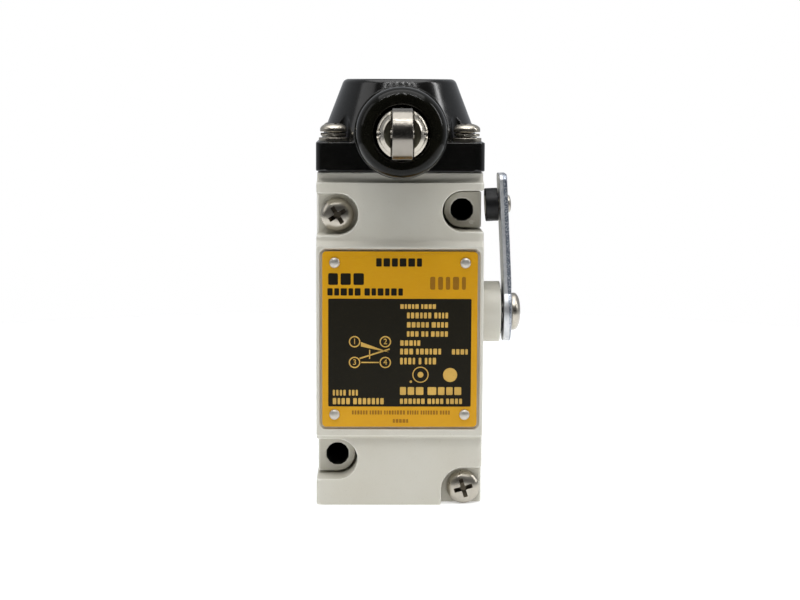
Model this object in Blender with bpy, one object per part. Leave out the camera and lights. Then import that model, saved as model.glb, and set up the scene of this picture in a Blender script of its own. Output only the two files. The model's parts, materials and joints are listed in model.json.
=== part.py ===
"""Plug-in limit switch with a roller plunger head and a side roller lever.

The origin is the middle of the fixing hole pattern on the flat mounting face.
+Y points into the wall that the switch is fixed to, -Y is the front with the
nameplate and the roller plunger, +X is the lever side and +Z is up.

Lengths below are in millimetres. MM turns them into metres where a mesh or an
object is made.
"""

import math

import bmesh
import bpy
from mathutils import Matrix, Vector

MM = 0.001
GAP = 0.3  # clearance between pieces that touch on the real switch
OVER = 1.0  # how far a cutter runs past the face that it opens

# Receptacle: the rear casting, screwed to the machine
BODY_HALF_WIDTH = 20.0
BODY_BOTTOM = -41.3
BODY_CORNER = 1.0
RECEPTACLE_TOP = 34.6
RECEPTACLE_FRONT = -23.6
RECEPTACLE_BACK_WALL = 2.5
RECEPTACLE_SIDE_WALL = 2.5
RECEPTACLE_FLOOR = 7.0
HOLE_X = 15.0
HOLE_Z = 30.0
HOLE_RADIUS = 2.7
HOLE_BOSS_RADIUS = 4.5
HOLE_BOSS_FRONT = -33.0
HOLE_BOSS_SIDE = 19.7
HOLE_PLUG_RADIUS = 2.4
HOLE_PLUG_FRONT = -6.0
HOLE_PLUG_BACK = -0.6
CONDUIT_RADIUS = 9.25
CONDUIT_Y = -12.3

# Switch box: the front casting, which carries the head and the switch unit
BOX_REAR = -24.8
BOX_FRONT = -40.0
BOX_SHOULDER = 36.8
BOX_NECK_BASE = 37.7
BOX_TOP = 39.2
BOX_NECK_INSET = 1.2
BOX_NECK_SIDE = 0.6
BOX_BACK = -1.0
BOX_PLATE_BOTTOM = 35.0
CAVITY_FRONT = -37.0
CAVITY_TOP = 34.1
CAVITY_SIDE = 19.3
CAVITY_STEP_X = 9.4
CAVITY_STEP_UPPER = 24.2
CAVITY_STEP_LOWER_LEFT = -24.2
CAVITY_STEP_LOWER_RIGHT = -31.5
CAVITY_BOTTOM = -40.8
GASKET_WIDTH = 1.8
HEAD_THREAD_RADIUS = 1.8
HEAD_THREAD_LIFT = 0.6  # the rear threads end higher, above the receptacle
PANEL_FRONT = -41.3
PANEL_TOP = 22.9
PANEL_BOTTOM = -24.2
PANEL_CHAMFER = 1.2

# Corner screws that hold the box on the receptacle
UPPER_SCREW = (-15.0, 28.9)
LOWER_SCREW = (15.6, -37.3)
UPPER_POCKET_FLOOR = -35.5
LOWER_POCKET_FLOOR = -36.4
BOX_SCREW_RADIUS = 1.6
BOX_SCREW_HEAD = (4.0, 2.7)
BOX_SCREW_TIP = -14.0
UPPER_POCKET = (-15.0, 29.2, 5.0)
HOLE_POCKET_RADIUS = 4.9
NOTCH_CORNER = (15.6, -37.5, 5.4)

# Nameplate
PLATE_HALF_WIDTH = 18.55
PLATE_TOP = 20.5
PLATE_BOTTOM = -21.8
PLATE_CORNER = 1.0
PLATE_BACK = -40.9
PLATE_FRONT = -41.4
PLATE_RECESS_FLOOR = -40.6
PLATE_RECESS_MARGIN = 0.65
RIVET_HOLE_FLOOR = -38.6
RIVET_TIP = -39.2
RIVET_X = 15.6
RIVET_ROWS = (17.8, -18.8)
RIVET_HEAD_RADIUS = 1.25
RIVET_SHANK_RADIUS = 0.7

# Head
HEAD_Y = -21.0
HEAD_HALF_WIDTH = 20.1
HEAD_BOTTOM = 39.5
FLANGE_TOP = 46.3
FLANGE_HALF_DEPTH = 20.0
FLANGE_CORNER = 2.5
HEAD_TOP = 61.3
HEAD_BASE_RADIUS = 19.8
HEAD_TOP_RADIUS = 14.1
HEAD_TOP_ROUND = 1.5
HEAD_SCREW_X = 16.0
HEAD_SCREW_ROWS = (-34.4, -7.6)
HEAD_SCREW_POCKET = 3.9
HEAD_SCREW_SEAT = 46.1
HEAD_SCREW_HOLE = 2.1
HEAD_SCREW_HEAD = (3.2, 2.0)
HEAD_SCREW_SHANK = 1.5
HEAD_SCREW_TIP = 36.2
FLAT_WASHER = (2.1, 3.5, 0.9)
SPRING_WASHER = (2.1, 3.1, 0.8)
HEAD_BOSS_RADIUS = 9.4
HEAD_BOSS_FRONT = -41.0
HEAD_BORE_RADIUS = 6.5
HEAD_BORE_BACK = -9.0
HEAD_BOSS_BACK = -29.0
HEAD_GASKET = (15.6, 17.4, 0.8)

# Roller plunger
PLUNGER_Z = 49.0
PLUNGER_RADIUS = 5.7
PLUNGER_FRONT = -69.6
PLUNGER_BACK = -24.0
PLUNGER_CHAMFER = 1.4
PLUNGER_SLOT = 2.65
PLUNGER_SLOT_BACK = -61.4
PLUNGER_SPRING = (4.6, 0.45)
ROLLER_Y = -67.6
ROLLER_RADIUS = 5.75
ROLLER_HALF_WIDTH = 2.3
ROLLER_PIN_RADIUS = 1.0
ROLLER_PIN_REACH = 5.2
BEARING_ACROSS_FLATS = 20.8
BEARING_BACK = -34.0
BEARING_SHOULDER = -41.3
BEARING_FRONT = -46.5
BEARING_SLEEVE_RADIUS = 8.3
BEARING_BORE = 6.15
BOOT_RADIUS = 10.45
BOOT_FRONT = -60.0
BOOT_BACK = -46.8
BOOT_HOLE = 6.4
BOOT_LIP = 7.7
BOOT_SHOULDER = -55.8
BOOT_BEAD_RADIUS = 10.9
BOOT_BEAD_FRONT = -50.7
BOOT_BEAD_BACK = -49.4
BOOT_BACK_RADIUS = 9.2

# Push rod, driven down by a slanted notch in the plunger
ROD_Y = -31.5
ROD_RADIUS = 2.0
ROD_BOTTOM = -4.2
ROD_TOP = 48.2
WEDGE_SLOPE = 0.4
NOTCH_FRONT = -39.6
NOTCH_BACK = -29.2
NOTCH_HALF_WIDTH = 2.4
ROD_HOLE_RADIUS = 2.6
GUIDE_BORE = 2.3
GUIDE_RADIUS = 4.2
GUIDE_FLANGE_RADIUS = 5.5
GUIDE_BOTTOM = 30.8
GUIDE_FLANGE_TOP = 32.0
GUIDE_TOP = 38.9
GUIDE_HOLE_RADIUS = 4.5
GUIDE_HOLE_FLOOR = 30.0
FOLLOWER_LOW = (-3.4, -36.0, -3.2)
FOLLOWER_HIGH = (9.0, -27.6, -1.8)

# Switch unit inside the box
UNIT_HALF_WIDTH = 7.2
UNIT_FRONT = -36.6
UNIT_REAR = -25.4
UNIT_TOP = -7.0
UNIT_BOTTOM = -28.0
UNIT_WALL = 1.0
PIN_RADIUS = 1.4
PIN_COLLAR_RADIUS = 2.1
PIN_COLLAR_HEIGHT = 1.0
PIN_TIP_DROP = 1.6
PIN_CHAMFER = 0.4
CONTACT_SPRING = (2.2, 0.25)
CONTACT_X = 4.6
CONTACT_WIDTH = 2.4
CONTACT_THICKNESS = 0.6
CONTACT_TAIL = -7.5
CONTACT_NC_Z = -12.0
CONTACT_NO_Z = -17.94
BUTTON_RADIUS = 1.0
BUTTON_HEIGHT = 0.5
BRIDGE_Z = -13.85
BRIDGE_THICKNESS = 0.5
BRIDGE_HALF_LENGTH = 5.9
BRIDGE_HALF_WIDTH = 2.2
CONTACT_HALF_DEPTH = 1.4

# Terminal block in the receptacle
BLOCK_HALF_WIDTH = 13.0
BLOCK_TOP = 16.0
BLOCK_BOTTOM = -24.0
BLOCK_BACK = -2.8
BLOCK_FRONT = -12.0
BARRIER_FRONT = -16.0
BARRIER_HALF = 0.8
TERMINAL_THREAD = 1.9
TERMINAL_THREAD_BACK = -6.5
TERMINAL_SCREW_HEAD = (3.0, 2.0)
TERMINAL_SCREW_SHANK = 1.6
TERMINAL_SCREW_TIP = -7.5
TERMINAL_X = 8.0
TERMINAL_ROWS = (10.0, -2.0)

# Side lever
LEVER_Y = -32.5
LEVER_Z = 5.2
LEVER_BOSS_RADIUS = 7.35
LEVER_BOSS_FACE = 24.35
LEVER_BOSS_INNER = 13.0
SHAFT_RADIUS = 3.0
SHAFT_START = 3.0
SHAFT_END = 26.6
SHAFT_THREAD_RADIUS = 1.9
SHAFT_THREAD_DEPTH = 8.0
BUSH_RADIUS = 4.6
BUSH_END = 22.0
SEAL_RADIUS = 5.5
SEAL_SEAT = 22.3
SEAL_START = 22.6
SEAL_END = 24.7
CLIP_RADIUS = 4.9
CLIP_START = 11.7
CLIP_END = 12.5
LEVER_SPRING = (4.0, 0.35)
LEVER_SPRING_START = 9.1
LEVER_SPRING_END = 11.0
LEVER_SCREW_HEAD = (4.65, 2.2)
LEVER_SCREW_SHANK = 1.6
LEVER_SCREW_TIP = 20.1
ARM_INNER_FACE = 25.0
ARM_THICKNESS = 1.9
ARM_HUB_RADIUS = 7.15
ARM_HALF_WIDTH = 5.2
ARM_TIP_CORNER = 2.0
ARM_TOP = 38.8
ARM_BEND_Z = 12.5
ARM_LEAN = math.radians(3.0)
LEVER_ROLLER_Z = 31.3
LEVER_ROLLER_RADIUS = 4.0
LEVER_ROLLER_WIDTH = 3.1
LEVER_ROLLER_CHAMFER = 0.4
LEVER_ROLLER_RECESS = (2.7, 0.9)
RIVET_SHANK = 1.5
RIVET_HEAD = (2.3, 0.6)
RIVET_CLINCH = (2.1, 1.6, 0.6)
CAM_RADIUS = 5.6
CAM_FLAT = 3.4
CAM_START = 3.6
CAM_END = 8.4
CAM_RELIEF_LOW = (2.4, -38.6, -3.5)
CAM_RELIEF_HIGH = (12.7, -30.0, 12.5)

CROSS_ARM = 0.22  # width of a driver recess arm as a share of its length
ROUND_SEGMENTS = 28
SMALL_SEGMENTS = 14
SMOOTH_ANGLE = math.radians(35.0)


# ---------------------------------------------------------------- materials


def linear(value):
    """One sRGB channel from 0 to 255 as a linear value."""
    value /= 255.0
    return value / 12.92 if value <= 0.04045 else ((value + 0.055) / 1.055) ** 2.4


def material(name, colour, roughness, metallic=0.0):
    made = bpy.data.materials.new(name)
    made.use_nodes = True
    shader = made.node_tree.nodes["Principled BSDF"]
    shader.inputs["Base Color"].default_value = (*map(linear, colour), 1.0)
    shader.inputs["Roughness"].default_value = roughness
    shader.inputs["Metallic"].default_value = metallic
    made.diffuse_color = shader.inputs["Base Color"].default_value
    return made


def all_materials():
    return {
        "cream_paint": material("cream_paint", (190, 187, 175), 0.55),
        "black_enamel": material("black_enamel", (16, 15, 14), 0.28),
        "rubber": material("rubber", (34, 34, 30), 0.5),
        "gasket_rubber": material("gasket_rubber", (28, 28, 27), 0.75),
        "black_oxide": material("black_oxide", (30, 29, 27), 0.45, 1.0),
        "stainless": material("stainless", (176, 172, 165), 0.3, 1.0),
        "nickel": material("nickel", (190, 186, 178), 0.25, 1.0),
        "zinc": material("zinc", (182, 184, 186), 0.38, 1.0),
        "yellow_plate": material("yellow_plate", (200, 145, 18), 0.4),
        "black_nylon": material("black_nylon", (20, 20, 21), 0.45),
        "phenolic": material("phenolic", (32, 28, 25), 0.5),
        "unit_plastic": material("unit_plastic", (206, 198, 176), 0.5),
        "contact_brass": material("contact_brass", (196, 158, 92), 0.35, 1.0),
        "bronze": material("bronze", (150, 108, 66), 0.45, 1.0),
        "spring_steel": material("spring_steel", (128, 128, 130), 0.35, 1.0),
    }


# ------------------------------------------------------------ basic shapes


def on_axis(axis, first, second, along):
    """A point from two sideways coordinates and one along the axis."""
    if axis == "X":
        return Vector((along, first, second))
    if axis == "Y":
        return Vector((first, along, second))
    return Vector((first, second, along))


def finished(name, bm, mat):
    """An object at the world origin from a bmesh in millimetres."""
    bmesh.ops.remove_doubles(bm, verts=bm.verts, dist=1e-5)
    bmesh.ops.recalc_face_normals(bm, faces=bm.faces)
    bmesh.ops.scale(bm, vec=(MM, MM, MM), verts=bm.verts)
    mesh = bpy.data.meshes.new(name)
    bm.to_mesh(mesh)
    bm.free()
    if mat:
        mesh.materials.append(mat)
    mesh.shade_smooth()
    mesh.set_sharp_from_angle(angle=SMOOTH_ANGLE)
    made = bpy.data.objects.new(name, mesh)
    bpy.context.scene.collection.objects.link(made)
    return made


def box(name, low, high, mat=None):
    bm = bmesh.new()
    bmesh.ops.create_cube(bm, size=1.0)
    low = Vector(low)
    high = Vector(high)
    bmesh.ops.scale(bm, vec=high - low, verts=bm.verts)
    bmesh.ops.translate(bm, vec=(low + high) / 2, verts=bm.verts)
    return finished(name, bm, mat)


def prism(name, axis, outline, start, end, mat=None):
    """A closed outline, square to the axis, extruded from start to end."""
    bm = bmesh.new()
    verts = [bm.verts.new(on_axis(axis, u, v, start)) for u, v in outline]
    face = bm.faces.new(verts)
    grown = bmesh.ops.extrude_face_region(bm, geom=[face])["geom"]
    moved = [item for item in grown if isinstance(item, bmesh.types.BMVert)]
    bmesh.ops.translate(bm, vec=on_axis(axis, 0, 0, end - start), verts=moved)
    return finished(name, bm, mat)


def turned(name, axis, centre, profile, mat=None, segments=ROUND_SEGMENTS):
    """A profile of (radius, place along the axis) turned once round the axis.

    A profile that starts and ends on the axis makes a solid piece, and any
    other profile is closed into a ring.
    """
    bm = bmesh.new()
    points = [on_axis(axis, centre[0] + r, centre[1], along) for r, along in profile]
    verts = [bm.verts.new(point) for point in points]
    edges = [bm.edges.new(pair) for pair in zip(verts, verts[1:])]
    if profile[0][0] > 0:
        edges.append(bm.edges.new((verts[-1], verts[0])))
    bmesh.ops.spin(
        bm,
        geom=verts + edges,
        cent=on_axis(axis, centre[0], centre[1], 0.0),
        axis=on_axis(axis, 0, 0, 1),
        angle=2 * math.pi,
        steps=segments,
        use_merge=True,
    )
    return finished(name, bm, mat)


def cylinder(name, axis, centre, radius, start, end, mat=None, segments=ROUND_SEGMENTS):
    outline = arc(centre, radius, 0, 360, segments)[:-1]
    return prism(name, axis, outline, start, end, mat)


def ring(name, axis, centre, inner, outer, start, end, mat, segments=ROUND_SEGMENTS):
    profile = [(inner, start), (outer, start), (outer, end), (inner, end)]
    return turned(name, axis, centre, profile, mat, segments)


def coil(name, axis, centre, size, start, end, turns, mat):
    """A coil spring as a bevelled curve with filled caps.

    The size is the radius of the coil and the radius of its wire.
    """
    radius, wire = size
    per_turn = 10
    curve = bpy.data.curves.new(name, "CURVE")
    curve.dimensions = "3D"
    curve.bevel_depth = wire * MM
    curve.bevel_resolution = 0
    curve.use_fill_caps = True
    curve.materials.append(mat)
    count = int(per_turn * turns) + 1
    spline = curve.splines.new("POLY")
    spline.points.add(count - 1)
    for step, point in enumerate(spline.points):
        angle = 2 * math.pi * step / per_turn
        first = centre[0] + radius * math.cos(angle)
        second = centre[1] + radius * math.sin(angle)
        along = start + (end - start) * step / (count - 1)
        point.co = (*(on_axis(axis, first, second, along) * MM), 1.0)
    made = bpy.data.objects.new(name, curve)
    bpy.context.scene.collection.objects.link(made)
    return made


def combine(made, others, operation):
    """Joins or cuts with each helper in turn, then drops the helpers."""
    for other in others:
        step = made.modifiers.new(operation.lower(), "BOOLEAN")
        step.operation = operation
        step.object = other
    bpy.context.view_layer.update()
    graph = bpy.context.evaluated_depsgraph_get()
    result = bpy.data.meshes.new_from_object(made.evaluated_get(graph))
    made.modifiers.clear()
    old = made.data
    made.data = result
    bpy.data.meshes.remove(old)
    result.name = made.name
    result.shade_smooth()
    result.set_sharp_from_angle(angle=SMOOTH_ANGLE)
    for other in others:
        bpy.data.objects.remove(other)
    return made


def cut(made, *others):
    return combine(made, others, "DIFFERENCE")


def join(made, *others):
    return combine(made, others, "UNION")


def copies(first, names, places):
    """The first object and more objects that share its mesh, one at each place."""
    first.location = Vector(places[0]) * MM
    for name, place in zip(names[1:], places[1:]):
        other = bpy.data.objects.new(name, first.data)
        other.location = Vector(place) * MM
        bpy.context.scene.collection.objects.link(other)


# ---------------------------------------------------------------- outlines


def arc(centre, radius, start, end, steps):
    """Points on a circle, from one angle in degrees to another."""
    angles = [math.radians(start + (end - start) * i / steps) for i in range(steps + 1)]
    return [
        (centre[0] + radius * math.cos(a), centre[1] + radius * math.sin(a)) for a in angles
    ]


def rounded_rectangle(left, right, bottom, top, radius, steps=3):
    corners = (
        ((right - radius, top - radius), 0),
        ((left + radius, top - radius), 90),
        ((left + radius, bottom + radius), 180),
        ((right - radius, bottom + radius), 270),
    )
    points = []
    for centre, start in corners:
        points += arc(centre, radius, start, start + 90, steps)
    return points


def open_pocket(centre, radius, side):
    """A round-ended slot that runs from its centre out to one side."""
    toward = 1 if side > centre[0] else -1
    points = [(side, centre[1] - toward * radius)]
    points.append((side, centre[1] + toward * radius))
    start = 90 if toward > 0 else -90
    return points + arc(centre, radius, start, start + 180, 10)


def inner_outline(inset):
    """The inside shape of the castings: a rectangle whose corners step in
    round the fixing holes and the box screws."""
    side = CAVITY_SIDE - inset
    step = CAVITY_STEP_X - inset
    top = CAVITY_TOP - inset
    upper = CAVITY_STEP_UPPER - inset
    lower_right = CAVITY_STEP_LOWER_RIGHT + inset
    lower_left = CAVITY_STEP_LOWER_LEFT + inset
    bottom = CAVITY_BOTTOM + inset
    return [
        (-step, top),
        (step, top),
        (step, upper),
        (side, upper),
        (side, lower_right),
        (step, lower_right),
        (step, bottom),
        (-step, bottom),
        (-step, lower_left),
        (-side, lower_left),
        (-side, upper),
        (-step, upper),
    ]


# ---------------------------------------------------------------- fasteners


def cross_recess(axis, centre, span, face, depth):
    """A cross-shaped driver recess as one cutter, sunk from the face."""
    half = CROSS_ARM * span
    inside = face + depth
    outside = face - math.copysign(OVER, depth)
    arms = []
    for name, wide, tall in (("arm_a", span, half), ("arm_b", half, span)):
        outline = [(-wide, -tall), (wide, -tall), (wide, tall), (-wide, tall)]
        moved = [(centre[0] + u, centre[1] + v) for u, v in outline]
        arms.append(prism(name, axis, moved, outside, inside))
    return join(*arms)


def pan_screw(name, axis, centre, size, shank, seat, tip, mat):
    """A pan head screw. The head rises from seat away from tip.

    The size is the radius and the height of the head.
    """
    head, height = size
    away = math.copysign(1.0, seat - tip)
    top = seat + away * height
    profile = [
        (0, tip),
        (shank, tip),
        (shank, seat),
        (head, seat),
        (head, seat + away * height * 0.45),
        (head * 0.86, seat + away * height * 0.85),
        (head * 0.6, top),
        (0, top),
    ]
    made = turned(name, axis, centre, profile, mat, SMALL_SEGMENTS)
    return cut(made, cross_recess(axis, centre, head * 0.5, top, -away * height * 0.55))


# ---------------------------------------------------------- rear receptacle


def receptacle(mats):
    outline = rounded_rectangle(
        -BODY_HALF_WIDTH, BODY_HALF_WIDTH, BODY_BOTTOM, RECEPTACLE_TOP, BODY_CORNER
    )
    made = prism("receptacle", "Y", outline, 0.0, RECEPTACLE_FRONT, mats["cream_paint"])
    side = BODY_HALF_WIDTH - RECEPTACLE_SIDE_WALL
    inside = RECEPTACLE_FRONT - OVER
    cut(
        made,
        box(
            "cavity",
            (-side, inside, BODY_BOTTOM + RECEPTACLE_FLOOR),
            (side, -RECEPTACLE_BACK_WALL, RECEPTACLE_TOP - RECEPTACLE_SIDE_WALL),
        ),
    )
    rooted = -RECEPTACLE_BACK_WALL / 2
    bosses = []
    for sign in (1, -1):
        shape = open_pocket(
            (sign * HOLE_X, sign * HOLE_Z), HOLE_BOSS_RADIUS, sign * HOLE_BOSS_SIDE
        )
        bosses.append(prism("hole_boss", "Y", shape, HOLE_BOSS_FRONT, rooted))
    screw_x, screw_z = UPPER_SCREW
    bosses.append(
        box(
            "screw_boss",
            (-side - OVER, RECEPTACLE_FRONT, screw_z - 4.0),
            (screw_x + 4.0, rooted, RECEPTACLE_TOP - OVER),
        )
    )
    join(made, *bosses)
    start = HOLE_BOSS_FRONT - OVER
    cutters = [
        cylinder("fixing_hole", "Y", (s * HOLE_X, s * HOLE_Z), HOLE_RADIUS, start, OVER)
        for s in (1, -1)
    ]
    radius = BOX_SCREW_RADIUS + GAP
    end = BOX_SCREW_TIP + OVER
    for screw in (UPPER_SCREW, LOWER_SCREW):
        cutters.append(
            cylinder("tapped_hole", "Y", screw, radius, inside, end, None, SMALL_SEGMENTS)
        )
    cutters.append(
        cylinder(
            "conduit_entry",
            "Z",
            (0.0, CONDUIT_Y),
            CONDUIT_RADIUS,
            BODY_BOTTOM - OVER,
            BODY_BOTTOM + RECEPTACLE_FLOOR + OVER,
        )
    )
    return cut(made, *cutters)


def hole_plugs(mats):
    """Rubber dust plugs in the rear ends of the fixing holes."""
    for name, sign in (("hole_plug_1", 1), ("hole_plug_2", -1)):
        centre = (sign * HOLE_X, sign * HOLE_Z)
        rubber = mats["gasket_rubber"]
        cylinder(name, "Y", centre, HOLE_PLUG_RADIUS, HOLE_PLUG_FRONT, HOLE_PLUG_BACK, rubber, 20)


def terminal_block(mats):
    made = box(
        "terminal_block",
        (-BLOCK_HALF_WIDTH, BLOCK_FRONT, BLOCK_BOTTOM),
        (BLOCK_HALF_WIDTH, BLOCK_BACK, BLOCK_TOP),
        mats["phenolic"],
    )
    upper, lower = TERMINAL_ROWS
    middle = (upper + lower) / 2
    below = lower - (upper - middle)
    barriers = [
        box(
            "upright",
            (-BARRIER_HALF, BARRIER_FRONT, below),
            (BARRIER_HALF, BLOCK_FRONT + OVER, BLOCK_TOP - OVER),
        )
    ]
    for level in (middle, below):
        barriers.append(
            box(
                "shelf",
                (-BLOCK_HALF_WIDTH + OVER, BARRIER_FRONT, level - BARRIER_HALF),
                (BLOCK_HALF_WIDTH - OVER, BLOCK_FRONT + OVER, level + BARRIER_HALF),
            )
        )
    join(made, *barriers)
    cutters = []
    radius = TERMINAL_THREAD
    start = BLOCK_FRONT - OVER
    for x in (-TERMINAL_X, TERMINAL_X):
        for z in TERMINAL_ROWS:
            thread = (radius, start, TERMINAL_THREAD_BACK, None, SMALL_SEGMENTS)
            cutters.append(cylinder("thread", "Y", (x, z), *thread))
    slot_x = CONTACT_WIDTH / 2 + GAP
    slot_z = CONTACT_THICKNESS / 2 + GAP
    for x in (-CONTACT_X, CONTACT_X):
        for z in (CONTACT_NC_Z, CONTACT_NO_Z):
            cutters.append(
                box(
                    "socket",
                    (x - slot_x, start, z - slot_z),
                    (x + slot_x, CONTACT_TAIL + OVER, z + slot_z),
                )
            )
    cut(made, *cutters)
    names = ["terminal_screw_%d" % number for number in (1, 2, 3, 4)]
    first = pan_screw(
        names[0],
        "Y",
        (0, 0),
        TERMINAL_SCREW_HEAD,
        TERMINAL_SCREW_SHANK,
        BLOCK_FRONT - GAP,
        TERMINAL_SCREW_TIP,
        mats["nickel"],
    )
    places = [(x, 0, z) for z in TERMINAL_ROWS for x in (-TERMINAL_X, TERMINAL_X)]
    copies(first, names, places)
    return made


def box_gasket(mats):
    made = prism(
        "box_gasket",
        "Y",
        inner_outline(0.0),
        BOX_REAR + GAP,
        RECEPTACLE_FRONT - GAP,
        mats["gasket_rubber"],
    )
    inside = inner_outline(GASKET_WIDTH)
    hole = prism("hole", "Y", inside, BOX_REAR - OVER, RECEPTACLE_FRONT + OVER)
    return cut(made, hole)


# --------------------------------------------------------------- switch box


def box_shell(mats):
    """The outside of the front casting, before anything is cut into it."""
    wide = BODY_HALF_WIDTH
    inset = BOX_NECK_INSET
    side = BOX_NECK_SIDE
    made = prism(
        "switch_box",
        "Z",
        rounded_rectangle(-wide, wide, BOX_FRONT, BOX_REAR, BODY_CORNER),
        BODY_BOTTOM,
        BOX_SHOULDER,
        mats["cream_paint"],
    )
    plate = prism(
        "plate",
        "Z",
        rounded_rectangle(-wide, wide, BOX_FRONT, BOX_BACK, BODY_CORNER),
        BOX_PLATE_BOTTOM,
        BOX_NECK_BASE,
    )
    top = max(vert.co.z for vert in plate.data.vertices)
    middle_y = (BOX_FRONT + BOX_BACK) / 2 * MM
    depth = BOX_BACK - BOX_FRONT
    for vert in plate.data.vertices:
        if vert.co.z == top:
            vert.co.x *= 1 - side / wide
            vert.co.y = middle_y + (vert.co.y - middle_y) * (1 - 2 * inset / depth)
    band = prism(
        "band",
        "Z",
        rounded_rectangle(-wide, wide, BOX_FRONT, BOX_BACK, BODY_CORNER),
        BOX_PLATE_BOTTOM,
        BOX_SHOULDER,
    )
    neck = prism(
        "neck",
        "Z",
        rounded_rectangle(
            side - wide, wide - side, BOX_FRONT + inset, BOX_BACK - inset, BODY_CORNER
        ),
        BOX_SHOULDER - OVER,
        BOX_TOP,
    )
    panel = prism(
        "panel",
        "X",
        [
            (PANEL_FRONT, PANEL_BOTTOM),
            (PANEL_FRONT, PANEL_TOP - PANEL_CHAMFER),
            (BOX_FRONT, PANEL_TOP),
            (BOX_FRONT + OVER, PANEL_TOP),
            (BOX_FRONT + OVER, PANEL_BOTTOM),
        ],
        -wide,
        wide,
    )
    centre = (LEVER_Y, LEVER_Z)
    inner = wide - RECEPTACLE_SIDE_WALL + OVER
    boss = cylinder("boss", "X", centre, LEVER_BOSS_RADIUS, inner, LEVER_BOSS_FACE)
    return join(made, band, plate, neck, panel, boss)


def box_pockets():
    """The four corner pockets, each open to the outside of the casting."""
    front = PANEL_FRONT - OVER
    beyond = BODY_HALF_WIDTH + OVER
    pockets = []
    for sign in (1, -1):
        shape = open_pocket((sign * HOLE_X, sign * HOLE_Z), HOLE_POCKET_RADIUS, sign * beyond)
        pockets.append(prism("hole_pocket", "Y", shape, front, BOX_REAR + OVER))
    x, z, radius = UPPER_POCKET
    pockets.append(
        prism("upper_pocket", "Y", open_pocket((x, z), radius, -beyond), front, UPPER_POCKET_FLOOR)
    )
    x, z, radius = NOTCH_CORNER
    low = BODY_BOTTOM - OVER
    shape = [(x - radius, low), (beyond, low), (beyond, z + radius)]
    shape += arc((x, z), radius, 90, 180, 5)
    pockets.append(prism("lower_notch", "Y", shape, front, LOWER_POCKET_FLOOR))
    return pockets


def switch_box(mats):
    made = box_shell(mats)
    front = PANEL_FRONT - OVER
    centre = (LEVER_Y, LEVER_Z)
    end = BOX_REAR + OVER
    cut(made, prism("inside", "Y", inner_outline(GASKET_WIDTH), CAVITY_FRONT, end))
    reach = BODY_HALF_WIDTH - RECEPTACLE_SIDE_WALL + OVER
    join(made, cylinder("inner_boss", "X", centre, LEVER_BOSS_RADIUS, LEVER_BOSS_INNER, reach))
    cutters = box_pockets()
    radius = BOX_SCREW_RADIUS + GAP
    for screw in (UPPER_SCREW, LOWER_SCREW):
        cutters.append(
            cylinder("screw_hole", "Y", screw, radius, front, end, None, SMALL_SEGMENTS)
        )
    margin = PLATE_RECESS_MARGIN
    recess = rounded_rectangle(
        -PLATE_HALF_WIDTH - margin,
        PLATE_HALF_WIDTH + margin,
        PLATE_BOTTOM - margin,
        PLATE_TOP + margin,
        PLATE_CORNER + margin,
    )
    cutters.append(prism("plate_recess", "Y", recess, front, PLATE_RECESS_FLOOR))
    radius = RIVET_SHANK_RADIUS + GAP
    for x in (-RIVET_X, RIVET_X):
        for z in RIVET_ROWS:
            place = (x, z)
            cutters.append(
                cylinder("rivet_hole", "Y", place, radius, front, RIVET_HOLE_FLOOR, None, 8)
            )
    top = BOX_TOP + OVER
    for x in (-HEAD_SCREW_X, HEAD_SCREW_X):
        for y in HEAD_SCREW_ROWS:
            floor = BOX_PLATE_BOTTOM + (HEAD_THREAD_LIFT if y > BOX_REAR else 0.0)
            thread = (HEAD_THREAD_RADIUS, floor, top, None, SMALL_SEGMENTS)
            cutters.append(cylinder("head_thread", "Z", (x, y), *thread))
    bore = (GUIDE_HOLE_RADIUS, GUIDE_HOLE_FLOOR, top, None, SMALL_SEGMENTS)
    cutters.append(cylinder("guide_bore", "Z", (0, ROD_Y), *bore))
    profile = [
        (0, LEVER_BOSS_INNER - OVER),
        (BUSH_RADIUS + GAP, LEVER_BOSS_INNER - OVER),
        (BUSH_RADIUS + GAP, SEAL_SEAT),
        (SEAL_RADIUS + GAP, SEAL_SEAT),
        (SEAL_RADIUS + GAP, LEVER_BOSS_FACE + OVER),
        (0, LEVER_BOSS_FACE + OVER),
    ]
    cutters.append(turned("shaft_bore", "X", centre, profile))
    cutters.append(box("cam_relief", CAM_RELIEF_LOW, CAM_RELIEF_HIGH))
    return cut(made, *cutters)


def nameplate(mats):
    outline = rounded_rectangle(
        -PLATE_HALF_WIDTH, PLATE_HALF_WIDTH, PLATE_BOTTOM, PLATE_TOP, PLATE_CORNER
    )
    made = prism("nameplate", "Y", outline, PLATE_BACK, PLATE_FRONT, mats["yellow_plate"])
    places = [(x, 0, z) for z in RIVET_ROWS for x in (-RIVET_X, RIVET_X)]
    radius = RIVET_SHANK_RADIUS + GAP
    cut(
        made,
        *[
            cylinder("hole", "Y", (x, z), radius, PLATE_FRONT - OVER, PLATE_BACK + OVER, None, 8)
            for x, _, z in places
        ],
    )
    seat = PLATE_FRONT - GAP
    profile = [
        (0, RIVET_TIP),
        (RIVET_SHANK_RADIUS, RIVET_TIP),
        (RIVET_SHANK_RADIUS, seat),
        (RIVET_HEAD_RADIUS, seat),
        (RIVET_HEAD_RADIUS * 0.75, seat - 0.35),
        (0, seat - 0.5),
    ]
    names = ["nameplate_rivet_%d" % number for number in (1, 2, 3, 4)]
    first = turned(names[0], "Y", (0, 0), profile, mats["nickel"], 12)
    copies(first, names, places)


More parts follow.
